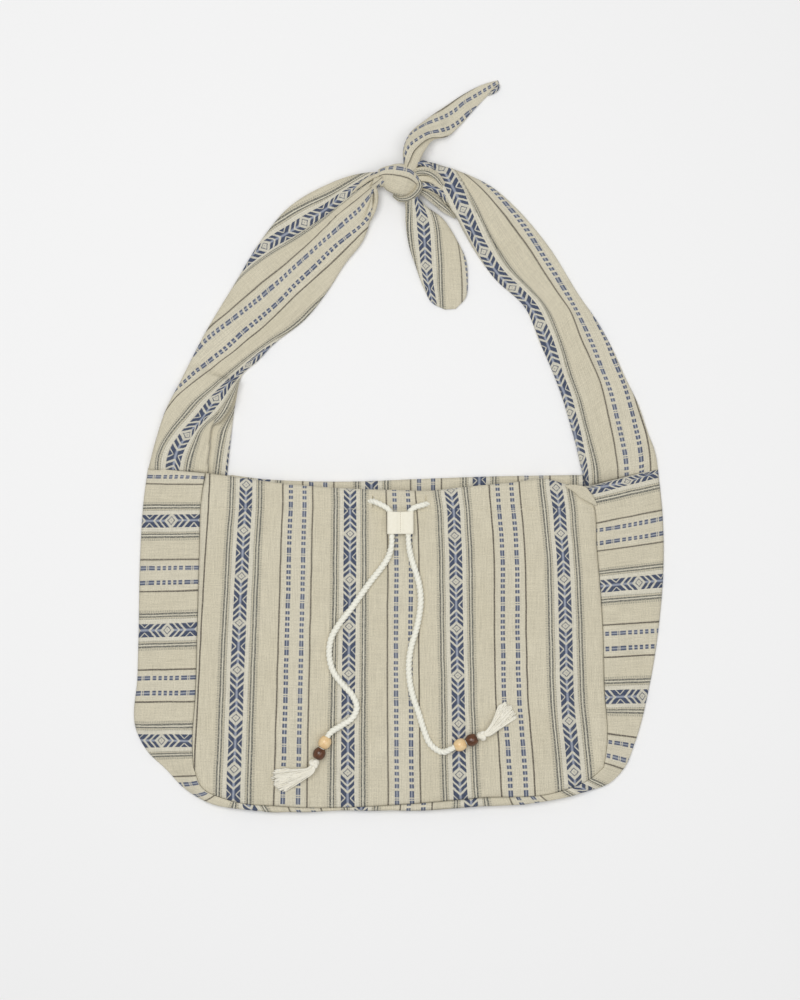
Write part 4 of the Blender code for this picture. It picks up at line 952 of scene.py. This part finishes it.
def hem_rows(edge, face, direction, stitch_y):
    """Rows that turn a hem over from the panel's edge and run back to the stitch line."""
    rows = []
    for angle in np.linspace(0, math.pi, 15)[1:]:
        rows.append(np.column_stack([edge[:, 0], edge[:, 1] + HEM_RADIUS * math.sin(angle),
                                     face + direction * HEM_RADIUS * (1 - math.cos(angle))]))
    _, turned_y, flap_z = rows[-1].T
    for share in (0.25, 0.5, 0.75, 1.0):
        rows.append(np.column_stack([edge[:, 0], turned_y + (stitch_y - turned_y) * share, flap_z]))
    return rows


def count_back(v, grid, turned):
    """Carry the place along the stripes on from a panel's edge into its turned rows."""
    for k in range(turned - 1, -1, -1):
        v[k] = v[k + 1] - np.linalg.norm(grid[k + 1] - grid[k], axis=1)


def make_front_panel(cloth):
    """Front panel with its gathered hem, a pinch at the right corner and two buttonholes."""
    fine = [share + d for share in BUTTONHOLE_SHARES for d in np.linspace(-FINE_SHARE, FINE_SHARE, 17)]
    across = np.sort(np.concatenate([np.linspace(0, 1, 190), fine]))
    across = across[np.concatenate([[True], np.diff(across) > 0.0008])]
    down = np.unique(np.concatenate([np.linspace(0, 0.14, 34), np.linspace(0.14, 1, 130)]))
    flat = patch(FRONT_TOP, FRONT_BOTTOM, FRONT_LEFT, FRONT_RIGHT, across, down)
    flat[..., 1] -= (HEM_RADIUS - HEM_RISE) * np.clip(1 - down / HEM_PULL, 0, 1)[:, None]
    x, y = flat[..., 0], flat[..., 1]
    nearest = np.clip(np.minimum.reduce(seam_gaps(x, y)), 0, None)
    height = front_height(x, y) - SEAM_DIP * (1 - smoothstep(nearest / SEAM_DIP_WIDTH))

    # Gathers under the hem, its stitched groove, and loose waves that leave the cords clear
    below = FRONT_STITCH_Y - y
    gathers = fading(below, GATHER_REACH) * smoothstep((nearest - 4) / 14)
    folds = (np.sin(x * 0.46 + 1.6 * np.sin(x * 0.061)) + 0.7 * np.sin(x * 0.83 + 2.0)) * GATHER_HEIGHT
    height += gathers * folds * np.where(below < 0, 0.75, 1.0)
    height -= GROOVE_DEPTH * bell(y, FRONT_STITCH_Y, GROOVE_WIDTH) * smoothstep(nearest / 6)
    clear = np.minimum(*(np.abs(beside_route(flat.reshape(-1, 2), np.array(line))[0])
                         for line in (LEFT_CORD_ON_FRONT, RIGHT_CORD_ON_FRONT))).reshape(x.shape)
    free = CALM_SHARE + (1 - CALM_SHARE) * smoothstep((clear - CORD_MARGIN) / CORD_FREE)
    for amount, size, seed, squash, margin in FRONT_WAVES:
        height += amount * ripple(x, y * squash, size, seed) * smoothstep(nearest / margin) * free
    lip, shift = fold_step(flat, *CORNER_PINCH)
    height += lip
    for centre in BUTTONHOLE_X:
        slit = bell(x, centre, SLIT_WIDTH, 4) * bell(y, BUTTONHOLE_Y, SLIT_LENGTH, 6)
        rim = bell(np.abs(x - centre), RIM_PLACE, RIM_WIDTH) * bell(y, BUTTONHOLE_Y, RIM_LENGTH, 6)
        height += RIM_HEIGHT * rim - SLIT_DEPTH * slit

    rows = hem_rows(flat[0], height[0], -1, FRONT_STITCH_Y)
    grid = np.concatenate([np.array(rows)[::-1], np.dstack([flat, height])])
    u = panel_stripes(grid[..., 0], np.minimum(grid[..., 1], FRONT_EVEN_Y))
    v = panel_motifs(grid[..., 0], grid[..., 1])
    grid[len(rows):, :, :2] += shift * smoothstep(down / 0.02)[:, None, None]
    count_back(v, grid, len(rows))
    return add_cloth("front_cloth", grid[::-1], np.dstack([u, v])[::-1], cloth)


def make_back_panel(cloth):
    """Back panel, flat on the table, with its hem turned inside."""
    across, down = np.linspace(0, 1, 150), np.linspace(0, 1, 90)
    flat = patch(BACK_TOP, BACK_BOTTOM, BACK_LEFT, BACK_RIGHT, across, down)
    flat[..., 1] -= (HEM_RADIUS - HEM_RISE) * np.clip(1 - down / BACK_HEM_PULL, 0, 1)[:, None]
    face = np.dstack([flat, np.full(flat.shape[:2], FLOOR_GAP)])
    rows = hem_rows(flat[0], face[0, :, 2], 1, BACK_STITCH_Y)
    for row in rows:
        row[:, 2] += 0.35 * np.sin(row[:, 0] * 0.5 + 1.1 * np.sin(row[:, 0] * 0.07)) * (row[:, 2] > 2)
    grid = np.concatenate([np.array(rows)[::-1], face])
    even_x = np.interp(grid[..., 0], *np.array(BACK_STRIPE_PLACES, dtype=float).T)
    u = panel_stripes(even_x, np.minimum(grid[..., 1], BACK_EVEN_Y), BACK_SHIFT)
    v = -grid[..., 1]
    count_back(v, grid, len(rows))
    return add_cloth("back_cloth", grid, np.dstack([u, v]), cloth)


def gusset_section(top, reach, lifted, tucked):
    """Thirteen points (share of the reach, height) across the gusset, from front to back seam."""
    bottom, fold_top = CLOTH / 2, FOLD_HEIGHT - CLOTH / 2
    leaf = [(0, 1), (0.25, 0.78), (0.5, 0.54), (0.75, 0.27), (0.92, 0.06), (0.985, 0)]
    spread = [(share, fold_top + (top - fold_top) * rise) for share, rise in leaf]
    spread += [(1, (fold_top + bottom) / 2)] + [(share, bottom) for share, _ in leaf[::-1]]
    wall = [(0, top), (0.6, top - 0.1), (0.93, top - 0.9), (1, top - 2.15), (1, 5.8), (1, 5.2), (1, 4.6),
            (1, 4.0), (1, 3.4), (1, 2.75), (0.93, 1.4), (0.6, 0.55), (0, bottom)]
    deep, near = -FOLD_TUCK / reach, -0.3 * FOLD_TUCK / reach
    tuck = [(0, top), (0.72, top - 0.2), (1, top - 1.1), (0.7, top - 2.15), (near, 6.2), (0.92 * deep, 6.1),
            (deep, 4.6), (0.92 * deep, 3.1), (near, 3.0), (0.7, 2.75), (1, 1.6), (0.72, 0.65), (0, bottom)]
    spread, wall, tuck = np.array(spread), np.array(wall), np.array(tuck)
    section = spread + (wall - spread) * lifted
    return section + (tuck - section) * tucked


def seam_normals(seam):
    """Unit vectors out of the bag, square to the seam."""
    ahead = np.gradient(seam, axis=0)
    return unit(np.column_stack([ahead[:, 1], -ahead[:, 0]]))


def motif_numbers(points, line, spots):
    """Motif numbers of points on a seam or outline, from the spots where whole motifs meet it."""
    fine = even_points(line, 1500)
    length = chord_places(fine)

    def place(point):
        return length[np.linalg.norm(fine - point, axis=1).argmin()]

    met = sorted((place(spot), number) for spot, (number, _, _) in zip(sheet_xy(spots), GUSSET_MOTIFS))
    places, numbers = zip(*met)
    return np.interp([place(point) for point in points], places, numbers)


def make_gusset(cloth):
    """Gusset: one strip with stripes across it, round both sides and the bottom of the bag."""
    side_count, bottom_count, sections = 90, 200, 49
    seams = []
    for left, bottom, right in ((FRONT_LEFT, FRONT_BOTTOM, FRONT_RIGHT),
                                (BACK_LEFT, BACK_BOTTOM, [GUSSET_BACK_END, *BACK_RIGHT[2:]])):
        seams.append(np.vstack([even_points(left, side_count), even_points(bottom, bottom_count)[1:-1],
                                even_points(right, side_count)[::-1]]))
    front, back = seams
    first, last = side_count - 1, side_count + bottom_count - 2
    count = len(front)
    along = np.clip((np.arange(count) - first) / (last - first), 0, 1)
    from_corner = np.minimum(along, 1 - along)
    lifted = smoothstep(from_corner / LIFT_RUN)
    tucked = smoothstep((from_corner - LIFT_RUN) / TUCK_RUN)
    normal, back_normal = seam_normals(front), seam_normals(back)
    outline = even_points(BAG_OUTLINE, 2400)
    grid, share_of = np.empty((count, sections, 3)), np.empty((count, sections))
    edges = np.empty((count, 2))
    for i in range(count):
        start = front[i] + normal[i] * SEAM_GAP
        end = back[i] + back_normal[i] * SEAM_GAP
        beside = np.abs((outline - start) @ np.array((-normal[i, 1], normal[i, 0])))
        beside[(outline - start) @ normal[i] <= 0] = np.inf
        edges[i] = edge = outline[np.argmin(beside)]
        reach = np.linalg.norm(edge - start)
        section = gusset_section(float(front_height(*front[i])), reach, lifted[i], tucked[i])
        section[:, 0] *= reach
        section = curve_at(section, np.linspace(0, chord_places(section)[-1], sections))
        for k, (run, height) in enumerate(section):
            seam = start if k <= sections // 2 else end
            share = run / reach
            sideways = (edge - seam) * share if share > 0 else normal[i] * run
            grid[i, k] = (*(seam + sideways), height)
            share_of[i, k] = np.clip(share, 0, 1)
    x, y = grid[..., 0], grid[..., 1]
    upper = np.arange(sections) <= sections // 2
    bulge = smoothstep(share_of * 3) * smoothstep((1 - share_of) * 4) * (1 - lifted[:, None])
    lumps = sum(high * ripple(x, y, size, seed) for seed, (high, size) in enumerate(GUSSET_LUMPS, 11))
    grid[..., 2] += bulge * lumps * upper
    from_seam = share_of * np.linalg.norm(edges - front, axis=1)[:, None]
    seam_dip = 1 - smoothstep(from_seam / GUSSET_DIP_WIDTH)
    grid[..., 2] -= GUSSET_DIP * seam_dip * (np.arange(sections) < 12)

    _, seam_spots, edge_spots = zip(*GUSSET_MOTIFS)
    on_seam = motif_numbers(front, front, seam_spots)[:, None]
    on_edge = motif_numbers(edges, BAG_OUTLINE, edge_spots)[:, None]
    number = on_seam * (1 - share_of) + on_edge * share_of
    v = np.array([chord_places(section) for section in grid])
    v += np.linspace(*GUSSET_STARTS, count)[:, None]
    return add_cloth("gusset_cloth", grid, np.dstack([number * REPEAT, v]), cloth)


def cloth_place(points, stripes):
    """Place across and along the cloth, in millimetres, of points between its stripes' routes."""
    sides, alongs, flip = [], [], 1.0
    for number, (_, repeats, anchor, route) in enumerate(stripes):
        line = sheet_xy(route)
        side, along = beside_route(points, line)
        zero = beside_route(sheet_xy([anchor]), line)[1][0]
        if number == 0:
            ahead = even_points(sheet_xy(stripes[1][3]), 3)[1:2]
            flip = float(np.sign(beside_route(ahead, line)[0][0]))
        sides.append(side * flip)
        alongs.append(along - zero + (repeats + 0.5) * MOTIF_REPEAT)
    places = [place * STRIPE for place, *_ in stripes]
    u, v = places[0] + sides[0], alongs[0]
    for k in range(len(stripes) - 1):
        gap = sides[k] - sides[k + 1]
        share = np.clip(sides[k] / np.where(np.abs(gap) < 1e-6, 1e-6, gap), 0, 1)
        inside = sides[k] >= 0
        u = np.where(inside, places[k] + (places[k + 1] - places[k]) * share, u)
        v = np.where(inside, alongs[k] + (alongs[k + 1] - alongs[k]) * share, v)
    beyond = sides[-1] >= 0
    return np.where(beyond, places[-1] + sides[-1], u), np.where(beyond, alongs[-1], v)


def make_strap(name, outer, inner, heights, stripes, folds, seed, cloth, rows=150, pleats=0.0, end=0):
    """Flattened tube of folded cloth between two edges, open along the middle of its underside.

    heights has the underside and the top by share of the length, and folds has fold_step's values
    for each place where the top layer folds over. The last stretch, end, thins to a rounded tip.
    """
    outer, inner = paired_points(outer, rows), paired_points(inner, rows)
    share = np.linspace(0, 1, rows)
    low = np.interp(share, *np.array(heights[0], dtype=float).T)
    high = np.interp(share, *np.array(heights[1], dtype=float).T)
    along = chord_places((outer + inner) / 2)
    half = (high - low) / 2
    if end:
        half = half * quarter_round(np.maximum((along[-1] - along) / end, 0.02))
    middle = np.maximum((high + low) / 2, low + half)
    half, middle = half[:, None], middle[:, None]

    # Top layer, with more of its columns near its two edges, then its lumps, ribs and pleats
    w = np.linspace(0, 1, 76)
    w = 0.35 * w + 0.65 * (0.5 - 0.5 * np.cos(math.pi * w))
    width = np.linalg.norm(inner - outer, axis=1)[:, None]
    flat = outer[:, None] + (inner - outer)[:, None] * w[None, :, None]
    edge = np.minimum(w[None], 1 - w[None]) * width
    radius = np.maximum(half * 1.5, 1.2)
    z = middle + half * quarter_round(edge / radius)
    u, v = (part.reshape(z.shape) for part in cloth_place(flat.reshape(-1, 2), stripes))
    x, y = flat[..., 0], flat[..., 1]
    inward = smoothstep(edge / 7)
    crown = np.sin(math.pi * w)[None] * np.clip(width / 40, 0, 1)
    z = z + inward * (0.85 * ripple(x, y, 55, seed) + 0.3 * ripple(x, y, 20, 7) + 0.5 * crown)
    z = z + inward * 0.3 * np.sin(u * 0.62 + 1.4 * np.sin(v * 0.045) + 0.8)
    z = z + inward * pleats * smoothstep((share[:, None] - 0.7) / 0.25) * np.sin(w[None] * 27 + 1.0)
    top = flat
    for fold in folds:
        rise, shift = fold_step(flat, *fold)
        inside = smoothstep(edge / 1.5)
        z = z + rise * inside
        top = top + shift * inside[..., None]
    z = np.maximum(z, low[:, None] + 0.3)

    def underside(places, border, direction):
        """Grid and cloth places of the underside, from the strap's middle to one of its edges."""
        base = outer[:, None] + (inner - outer)[:, None] * places[None, :, None]
        out = np.minimum(places, 1 - places)[None] * width
        depth = middle - half * quarter_round(out / radius)
        across = u[:, border, None] + direction * np.sign(u[:, :1] - u[:, -1:]) * out
        length = np.repeat(v[:, border, None], len(places), axis=1)
        return np.dstack([base, depth]), np.dstack([across, length])

    slit = np.append(np.linspace(0, 0.5, 18)[1:-1], 0.5)
    first, first_uv = underside(slit[::-1], 0, 1)
    last, last_uv = underside(1 - slit, -1, -1)
    grid = np.concatenate([first, np.dstack([top, z]), last], axis=1)
    uv = np.concatenate([first_uv, np.dstack([u, v]), last_uv], axis=1)
    columns = grid.shape[1]
    caps = [list(range(columns))[::-1], list(range((rows - 1) * columns, rows * columns))]
    faces = grid_faces(rows, columns) + caps
    return add_mesh(name, grid.reshape(-1, 3), faces, uv.reshape(-1, 2), cloth)


def make_fold(name, route, widths, heights, u_range, cloth, rows=60, v_start=0.0, wobble=0.25):
    """Rounded fold of cloth along a route; widths and heights are half sizes by share of its length."""
    path = even_points(sheet_xyz(route), rows)
    share = np.linspace(0, 1, rows)
    half_width = np.interp(share, np.linspace(0, 1, len(widths)), widths)
    half_height = np.interp(share, np.linspace(0, 1, len(heights)), heights)
    ahead = unit(np.gradient(path, axis=0))
    side = unit(np.cross((0.0, 0.0, 1.0), ahead))
    up = np.cross(ahead, side)
    angles = round_angles(40)
    out, rise = boxy(np.cos(angles), 0.85), boxy(np.sin(angles), 0.7)
    u = np.interp(out, [-1, 1], u_range)
    points, places = [], []
    phase = len(name)
    for i, along in enumerate(chord_places(path)):
        lump = 1 + wobble * 0.3 * np.sin(angles * 3 + along * 0.35 + phase)
        across, height = out * half_width[i] * lump, rise * half_height[i] * lump
        points.append(path[i] + across[:, None] * side[i] + height[:, None] * up[i])
        places.append(np.column_stack([u, np.full(len(angles), v_start + along)]))
    faces = tube_faces(rows, len(angles))
    return add_mesh(name, np.concatenate(points), faces, np.concatenate(places), cloth)


def bead_line(line):
    """Start and unit direction of the straight end of a cord, which carries its beads."""
    centre, direction = np.array(line, dtype=float)
    return centre, unit(direction)


def free_cord_points(top, on_front, line, count=64):
    """Points along a free cord: out of the casing, through the slider, along the front panel."""
    centre, direction = bead_line(line)
    rest = [(x, y, float(front_height(x, y)) + CORD_DIAMETER / 2 + CORD_CLEARANCE) for x, y in on_front]
    ends = [centre + direction * d for d in (-BEAD_LINE_LEAD, 0.0, DARK_BEAD_AT, KNOT_AT - KNOT_DEPTH)]
    return even_points([*top, *rest, *ends], count)


def casing_points(count=79):
    """Points along the hidden cord, in the front casing, the back casing and the front again."""
    front = [[(x, y, float(hem_height(x)) - HEM_RADIUS - FRONT_SAG) for x, y in run]
             for run in (CASING_FRONT_LEFT, CASING_FRONT_RIGHT)]
    back = [(x, y, HEM_RADIUS - BACK_SAG) for x, y in CASING_BACK]
    return even_points([*front[0], *CASING_TURN_LEFT, *back, *CASING_TURN_RIGHT, *front[1]], count)


def rope_profile(turn, radius):
    """Outline of a rope of three strands, turned by an angle."""
    angles = round_angles(30)
    offset, strand = radius * 0.5, radius * 0.65
    reach = np.zeros_like(angles)
    for k in range(3):
        a = angles - turn - k * FULL_TURN / 3
        under = strand**2 - (offset * np.sin(a)) ** 2
        reach = np.maximum(reach, np.where(under > 0, offset * np.cos(a) + np.sqrt(np.abs(under)), 0))
    return np.column_stack([reach * np.cos(angles), reach * np.sin(angles)])


def make_rope(name, points, cotton, free=None, size=CORD_DIAMETER):
    """Twisted cotton drawstring along a row of points; it swells a little on its free run."""
    path = even_points(points, int(chord_places(np.asarray(points))[-1] / 0.7))
    along = chord_places(path)
    radius = np.full(len(path), size / 2)
    if free is not None:
        first, last = (along[np.linalg.norm(path - spot, axis=1).argmin()] for spot in free)
        radius *= 1 + CORD_SWELL * smoothstep((along - first) / 5) * smoothstep((last - along) / 5)
    rings = [rope_profile(FULL_TURN * place / LAY, r) for place, r in zip(along, radius)]
    return add_tube(name, path, rings, cotton)


def make_bead(name, line, distance, size, wood):
    """Bored wooden bead on the straight end of a cord."""
    start, direction = bead_line(line)
    radius, half = size[0] / 2, size[1] / 2
    shoulder, lip, segments = 1.12, 0.9, 40
    profile = [(half * math.sin(a) / math.sin(shoulder), radius * math.cos(a) ** 0.8)
               for a in np.linspace(-shoulder, shoulder, 23)]
    profile = [(lip - half, BORE_RADIUS), *profile, (half - lip, BORE_RADIUS)]
    points = [(r * math.cos(turn), r * math.sin(turn), z)
              for turn in round_angles(segments) for z, r in profile]
    index = np.arange(len(points)).reshape(segments, len(profile))
    there = np.roll(index, -1, axis=0)
    faces = np.stack([index, there, np.roll(there, -1, axis=1), np.roll(index, -1, axis=1)], axis=-1)
    bead = add_mesh(name, points, faces.reshape(-1, 4).tolist(), np.zeros((len(points), 2)), wood)
    bead.location = Vector(start + direction * distance) * MM
    bead.rotation_mode = "QUATERNION"
    bead.rotation_quaternion = Vector(direction).to_track_quat("Z", "Y")
    return bead


def add_threads(name, paths, radius, material, sides=6):
    """One mesh of many thin closed threads; radius is one value, or one for each point of a path."""
    points, faces, places = [], [], []
    angles = round_angles(sides)[None, :, None]
    for number, path in enumerate(paths):
        path = np.asarray(path, dtype=float)
        side, up = route_frames(path)
        ring = np.cos(angles) * side[:, None] + np.sin(angles) * up[:, None]
        thick = np.broadcast_to(radius, len(path))[:, None, None]
        spots = (path[:, None] + ring * thick).reshape(-1, 3)
        first = number * len(spots)
        faces += [[first + corner for corner in face] for face in tube_faces(len(path), sides)]
        points.append(spots)
        places.append(np.column_stack([number * 3.7 + spots[:, 0] * 0.3,
                                       np.repeat(chord_places(path), sides)]))
    return add_mesh(name, np.concatenate(points), faces, np.concatenate(places), material)


def make_tassel(name, line, tip, spread, cotton, seed):
    """End knot of a cord, which is a trefoil, and the frayed strands beyond it."""
    rng = np.random.default_rng(seed)
    start, direction = bead_line(line)
    knot = start + direction * KNOT_AT
    across = unit(np.cross((0, 0, 1), direction))
    up = np.cross(direction, across)
    turn = np.linspace(0, FULL_TURN, 120)[:, None]
    loop = ((np.sin(turn) + 1.9 * np.sin(2 * turn)) * direction * LOOP_ALONG
            + (np.cos(turn) - 1.9 * np.cos(2 * turn)) * across * LOOP_ACROSS
            - np.sin(3 * turn) * up * LOOP_UP)
    tied = add_threads(name + "_knot", [knot + loop], KNOT_RADIUS, cotton, 16)

    reach = np.array(tip, dtype=float) - knot
    flat_side = unit(np.cross((0, 0, 1), reach))
    count, strands = 26, []
    run = np.linspace(0, 1, count)
    for _ in range(STRANDS):
        place = rng.uniform(-1, 1)
        depth = rng.uniform(-1, 1)
        length = rng.uniform(0.86, 1.04) - 0.1 * place**2
        middle = knot + direction * 5 + reach * 0.28 + flat_side * place * spread * 0.5
        end = knot + reach * length + flat_side * place * spread
        root = knot + direction * 2.2 + across * place * 1.8 + up * depth * 1.5
        neck = knot + direction * 4.8 + across * place * 2.6 + up * depth * 1.7
        path = even_points([root, neck, middle + (0, 0, depth * 1.6),
                            (middle + end) / 2 + (0, 0, depth * 1.3), end], count)
        wave = np.sin(run * rng.uniform(5, 13) + rng.uniform(0, 6.3)) * rng.uniform(0.1, 0.75) * run
        path += flat_side * wave[:, None]
        path[:, 2] += 0.35 * np.sin(run * rng.uniform(4, 10) + rng.uniform(0, 6.3)) * run
        floor = front_height(path[:, 0], path[:, 1]) + 0.75 + (depth + 1) * 0.9 * (1 - run * 0.55)
        path[:, 2] = np.maximum(path[:, 2] * (1 - run) + (floor + 0.3) * run, floor)
        strands.append(path)
    thickness = np.linspace(STRAND_ROOT, STRAND_TIP, count)
    return tied, add_threads(name + "_strands", strands, thickness, cotton, 5)


def make_slider(material, thread):
    """Flat cloth tube that both cords run through, stitched down its middle."""
    centre = np.array(SLIDER_CENTRE)
    angles = round_angles(96)
    # Rows from one mouth to the other: place along the slider, and inset from its outer face
    mouth = [(3.5, 1.1), (0.9, 1.1), (0.25, 0.85), (0.0, 0.5), (0.25, 0.12)]
    rows = [(place - SLIDER_HALF_LENGTH, inset) for place, inset in mouth]
    straight = SLIDER_HALF_LENGTH - 0.9
    rows += [(y, 0.0) for y in np.linspace(-straight, straight, 26)]
    rows += [(-y, inset) for y, inset in rows[4::-1]]
    points, places = [], []
    for y, inset in rows:
        x = (SLIDER_HALF_WIDTH - inset) * boxy(np.cos(angles), 0.6)
        waist = SLIDER_WAIST + (SLIDER_SWELL - SLIDER_WAIST) * smoothstep((np.abs(x) - 0.2) / 3.4)
        z = (waist - inset) * boxy(np.sin(angles), 0.42)
        bow = 0.5 * (1 - (x / SLIDER_HALF_WIDTH) ** 2) * (1 if y > 0 else -0.3)
        points.append(np.column_stack([x, y - bow, z]) + centre)
        places.append(np.column_stack([ring_lengths(np.column_stack([x, z])), np.full(len(x), y)]))
    faces = grid_faces(len(rows), len(angles), closed=True, flip=True)
    inner = np.arange(len(angles))
    last = inner + (len(rows) - 1) * len(angles)
    faces += np.column_stack([inner, np.roll(inner, -1), np.roll(last, -1), last]).tolist()
    body = add_mesh("slider_tape", np.concatenate(points), faces, np.concatenate(places), material)
    stitch = np.array([(0, 0, 1.6), (0, 0.25, 2), (0, 0.55, 2.1), (0, 0.85, 2), (0, 1.1, 1.6)])
    stitches = [centre + stitch + (0, y, 0) for y in np.arange(*SLIDER_STITCHES)]
    return body, add_threads("slider_stitches", stitches, SLIDER_THREAD, thread)


def make_hem_stitches(thread):
    """Hem stitches of the front panel, and the buttonholes' close stitches."""
    paths = []
    for x in np.arange(*HEM_STITCHES):
        y = FRONT_STITCH_Y + 0.1 * math.sin(x * 0.3)
        z = float(front_height(x, y)) - 0.55
        paths.append([(x, y, z - 0.3), (x + 0.3, y, z), (x + 1.1, y, z + 0.06), (x + 1.8, y, z),
                      (x + 2.1, y, z - 0.3)])
    hem = add_threads("hem_stitches", paths, HEM_THREAD, thread)
    paths = []
    for centre in BUTTONHOLE_X:
        for step, y in enumerate(np.arange(*BUTTONHOLE_STITCHES) + BUTTONHOLE_Y):
            z = float(front_height(centre, y)) + 0.3
            for side in (-1, 1):
                near, far = centre + side * 0.4, centre + side * (1.25 + 0.3 * (step % 2))
                paths.append([(near, y, z - 0.9), (near + side * 0.2, y, z),
                              ((near + far) / 2, y, z + 0.12), (far - side * 0.15, y, z - 0.05),
                              (far, y, z - 0.7)])
    return hem, add_threads("buttonhole_stitches", paths, BUTTONHOLE_THREAD, thread)


# Camera: straight above the middle of the sheet, whose longer side it frames a little over the floor
CAMERA_HEIGHT, FRAMED_HEIGHT, FRAMED_SIZE, SENSOR = 2.2, 0.008, 0.82, 36.0
camera_data = bpy.data.cameras.new("camera")
camera_data.sensor_width = SENSOR
camera_data.lens = SENSOR * (CAMERA_HEIGHT - FRAMED_HEIGHT) / FRAMED_SIZE
camera = bpy.data.objects.new("camera", camera_data)
camera.location = (0.00033, -0.0447, CAMERA_HEIGHT)
bpy.context.scene.collection.objects.link(camera)
bpy.context.scene.camera = camera

# Materials
jacquard = jacquard_material()
cotton = cotton_material("drawstring_cotton", (253, 250, 236), 0.0002)
strand_cotton = cotton_material("tassel_cotton", (246, 242, 228), 0.0001)
tape = slider_material()
grey_thread = cotton_material("grey_thread", (196, 188, 168), 0.0001)
light_wood = wood_material("natural_wood", (240, 212, 164), (222, 182, 128), 350.0)
dark_wood = wood_material("stained_wood", (106, 64, 38), (60, 35, 20), 400.0)

# Drawstring: two free ends, and the run hidden in the casings
cord_ends = {}
for side, top, on_front, line in (("left", LEFT_CORD_TOP, LEFT_CORD_ON_FRONT, LEFT_BEAD_LINE),
                                  ("right", RIGHT_CORD_TOP, RIGHT_CORD_ON_FRONT, RIGHT_BEAD_LINE)):
    path = free_cord_points(top, on_front, line)
    centre, direction = bead_line(line)
    rope = make_rope(f"drawstring_{side}_rope", path, cotton,
                     free=((top[-1][0], SWELL_START_Y, top[-1][2]), centre - direction * SWELL_END))
    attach(rope, "bag")
    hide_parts(f"drawstring_{side}_end")
    cord_ends[side] = (rope, path)
hidden = make_rope("drawstring_hidden_rope", casing_points(), cotton, size=HIDDEN_DIAMETER)
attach(hidden, "bag")
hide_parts("drawstring_in_casing")

# Beads, tassels and slider
for side, line in (("left", LEFT_BEAD_LINE), ("right", RIGHT_BEAD_LINE)):
    for kind, distance, size, wood in (("light", 0.0, LIGHT_BEAD_SIZE, light_wood),
                                       ("dark", DARK_BEAD_AT, DARK_BEAD_SIZE, dark_wood)):
        bead = make_bead(f"{side}_{kind}_bead_turned", line, distance, size, wood)
        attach(bead, f"{side}_{kind}_bead")
        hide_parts(f"{side}_{kind}_bead")
tassels = {}
for side, line, tip, spread, seed in (
        ("left", LEFT_BEAD_LINE, LEFT_TASSEL_TIP, LEFT_TASSEL_SPREAD, 5),
        ("right", RIGHT_BEAD_LINE, RIGHT_TASSEL_TIP, RIGHT_TASSEL_SPREAD, 6)):
    tassels[side] = make_tassel(f"{side}_tassel", line, tip, spread, strand_cotton, seed)
    for piece in tassels[side]:
        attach(piece, "bag")
    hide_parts(f"{side}_tassel")
slider_tape, slider_stitches = make_slider(tape, grey_thread)
for piece in (slider_tape, slider_stitches):
    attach(piece, "slider")
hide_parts("cord_slider")

for side, extra in (("left", [slider_tape, slider_stitches]), ("right", [])):
    rope, path = cord_ends[side]
    tuple(path[0] * MM)
    (path * MM).tolist()

# Panels and gusset
front_cloth = make_front_panel(jacquard)
back_cloth = make_back_panel(jacquard)
gusset_cloth = make_gusset(jacquard)
for piece, node in ((front_cloth, "front_panel"), (back_cloth, "back_panel"), (gusset_cloth, "gusset")):
    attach(piece, "bag")
    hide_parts(node)
corner_fold = make_fold("corner_fold", *CORNER_FOLD, jacquard, rows=50, wobble=0.0)
for piece in (corner_fold, *make_hem_stitches(tape)):
    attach(piece, "bag")

# Straps, their tails and the knot
left_strap, right_strap, pointed_tail, leaf_tail = (
    make_strap(name, cloth=jacquard, **shape) for name, shape in STRAPS.items())
knot_pieces = [make_fold(name, *shape, jacquard, **extra) for name, shape, extra in KNOT_FOLDS]
for piece in (left_strap, right_strap, pointed_tail, leaf_tail, *knot_pieces):
    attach(piece, "bag")
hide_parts("left_strap")
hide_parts("right_strap")

# Floor and light
FLOOR_HALF = 3
floor_material, _, floor_shader = new_material("pale_floor", 0.9)
floor_shader.inputs["Base Color"].default_value = (*rgb(243, 243, 243), 1.0)
floor_mesh = bpy.data.meshes.new("floor")
floor_mesh.from_pydata([(x * FLOOR_HALF, y * FLOOR_HALF, 0)
                        for x, y in ((-1, -1), (1, -1), (1, 1), (-1, 1))], [], [(0, 1, 2, 3)])
floor_mesh.materials.append(floor_material)
floor = bpy.data.objects.new("floor", floor_mesh)
bpy.context.scene.collection.objects.link(floor)

LIGHTS_AIM = Vector((0, -0.05, 0))
for name, place, size, power in (("key", (-0.5, 0.35, 2.15), 1.0, 19.8),
                                 ("fill", (0.55, -0.3, 2.2), 1.6, 14.6)):
    light_data = bpy.data.lights.new(name, "AREA")
    light_data.shape = "SQUARE"
    light_data.size = size
    light_data.energy = power
    light = bpy.data.objects.new(name, light_data)
    light.location = place
    light.rotation_mode = "QUATERNION"
    light.rotation_quaternion = (Vector(place) - LIGHTS_AIM).to_track_quat("Z", "Y")
    bpy.context.scene.collection.objects.link(light)
world = bpy.data.worlds.new("room")
world.use_nodes = True
room_light = world.node_tree.nodes["Background"]
room_light.inputs["Color"].default_value = (1.0, 1.0, 1.0, 1.0)
room_light.inputs["Strength"].default_value = 0.41
bpy.context.scene.world = world
bpy.context.scene.view_settings.view_transform = "Standard"
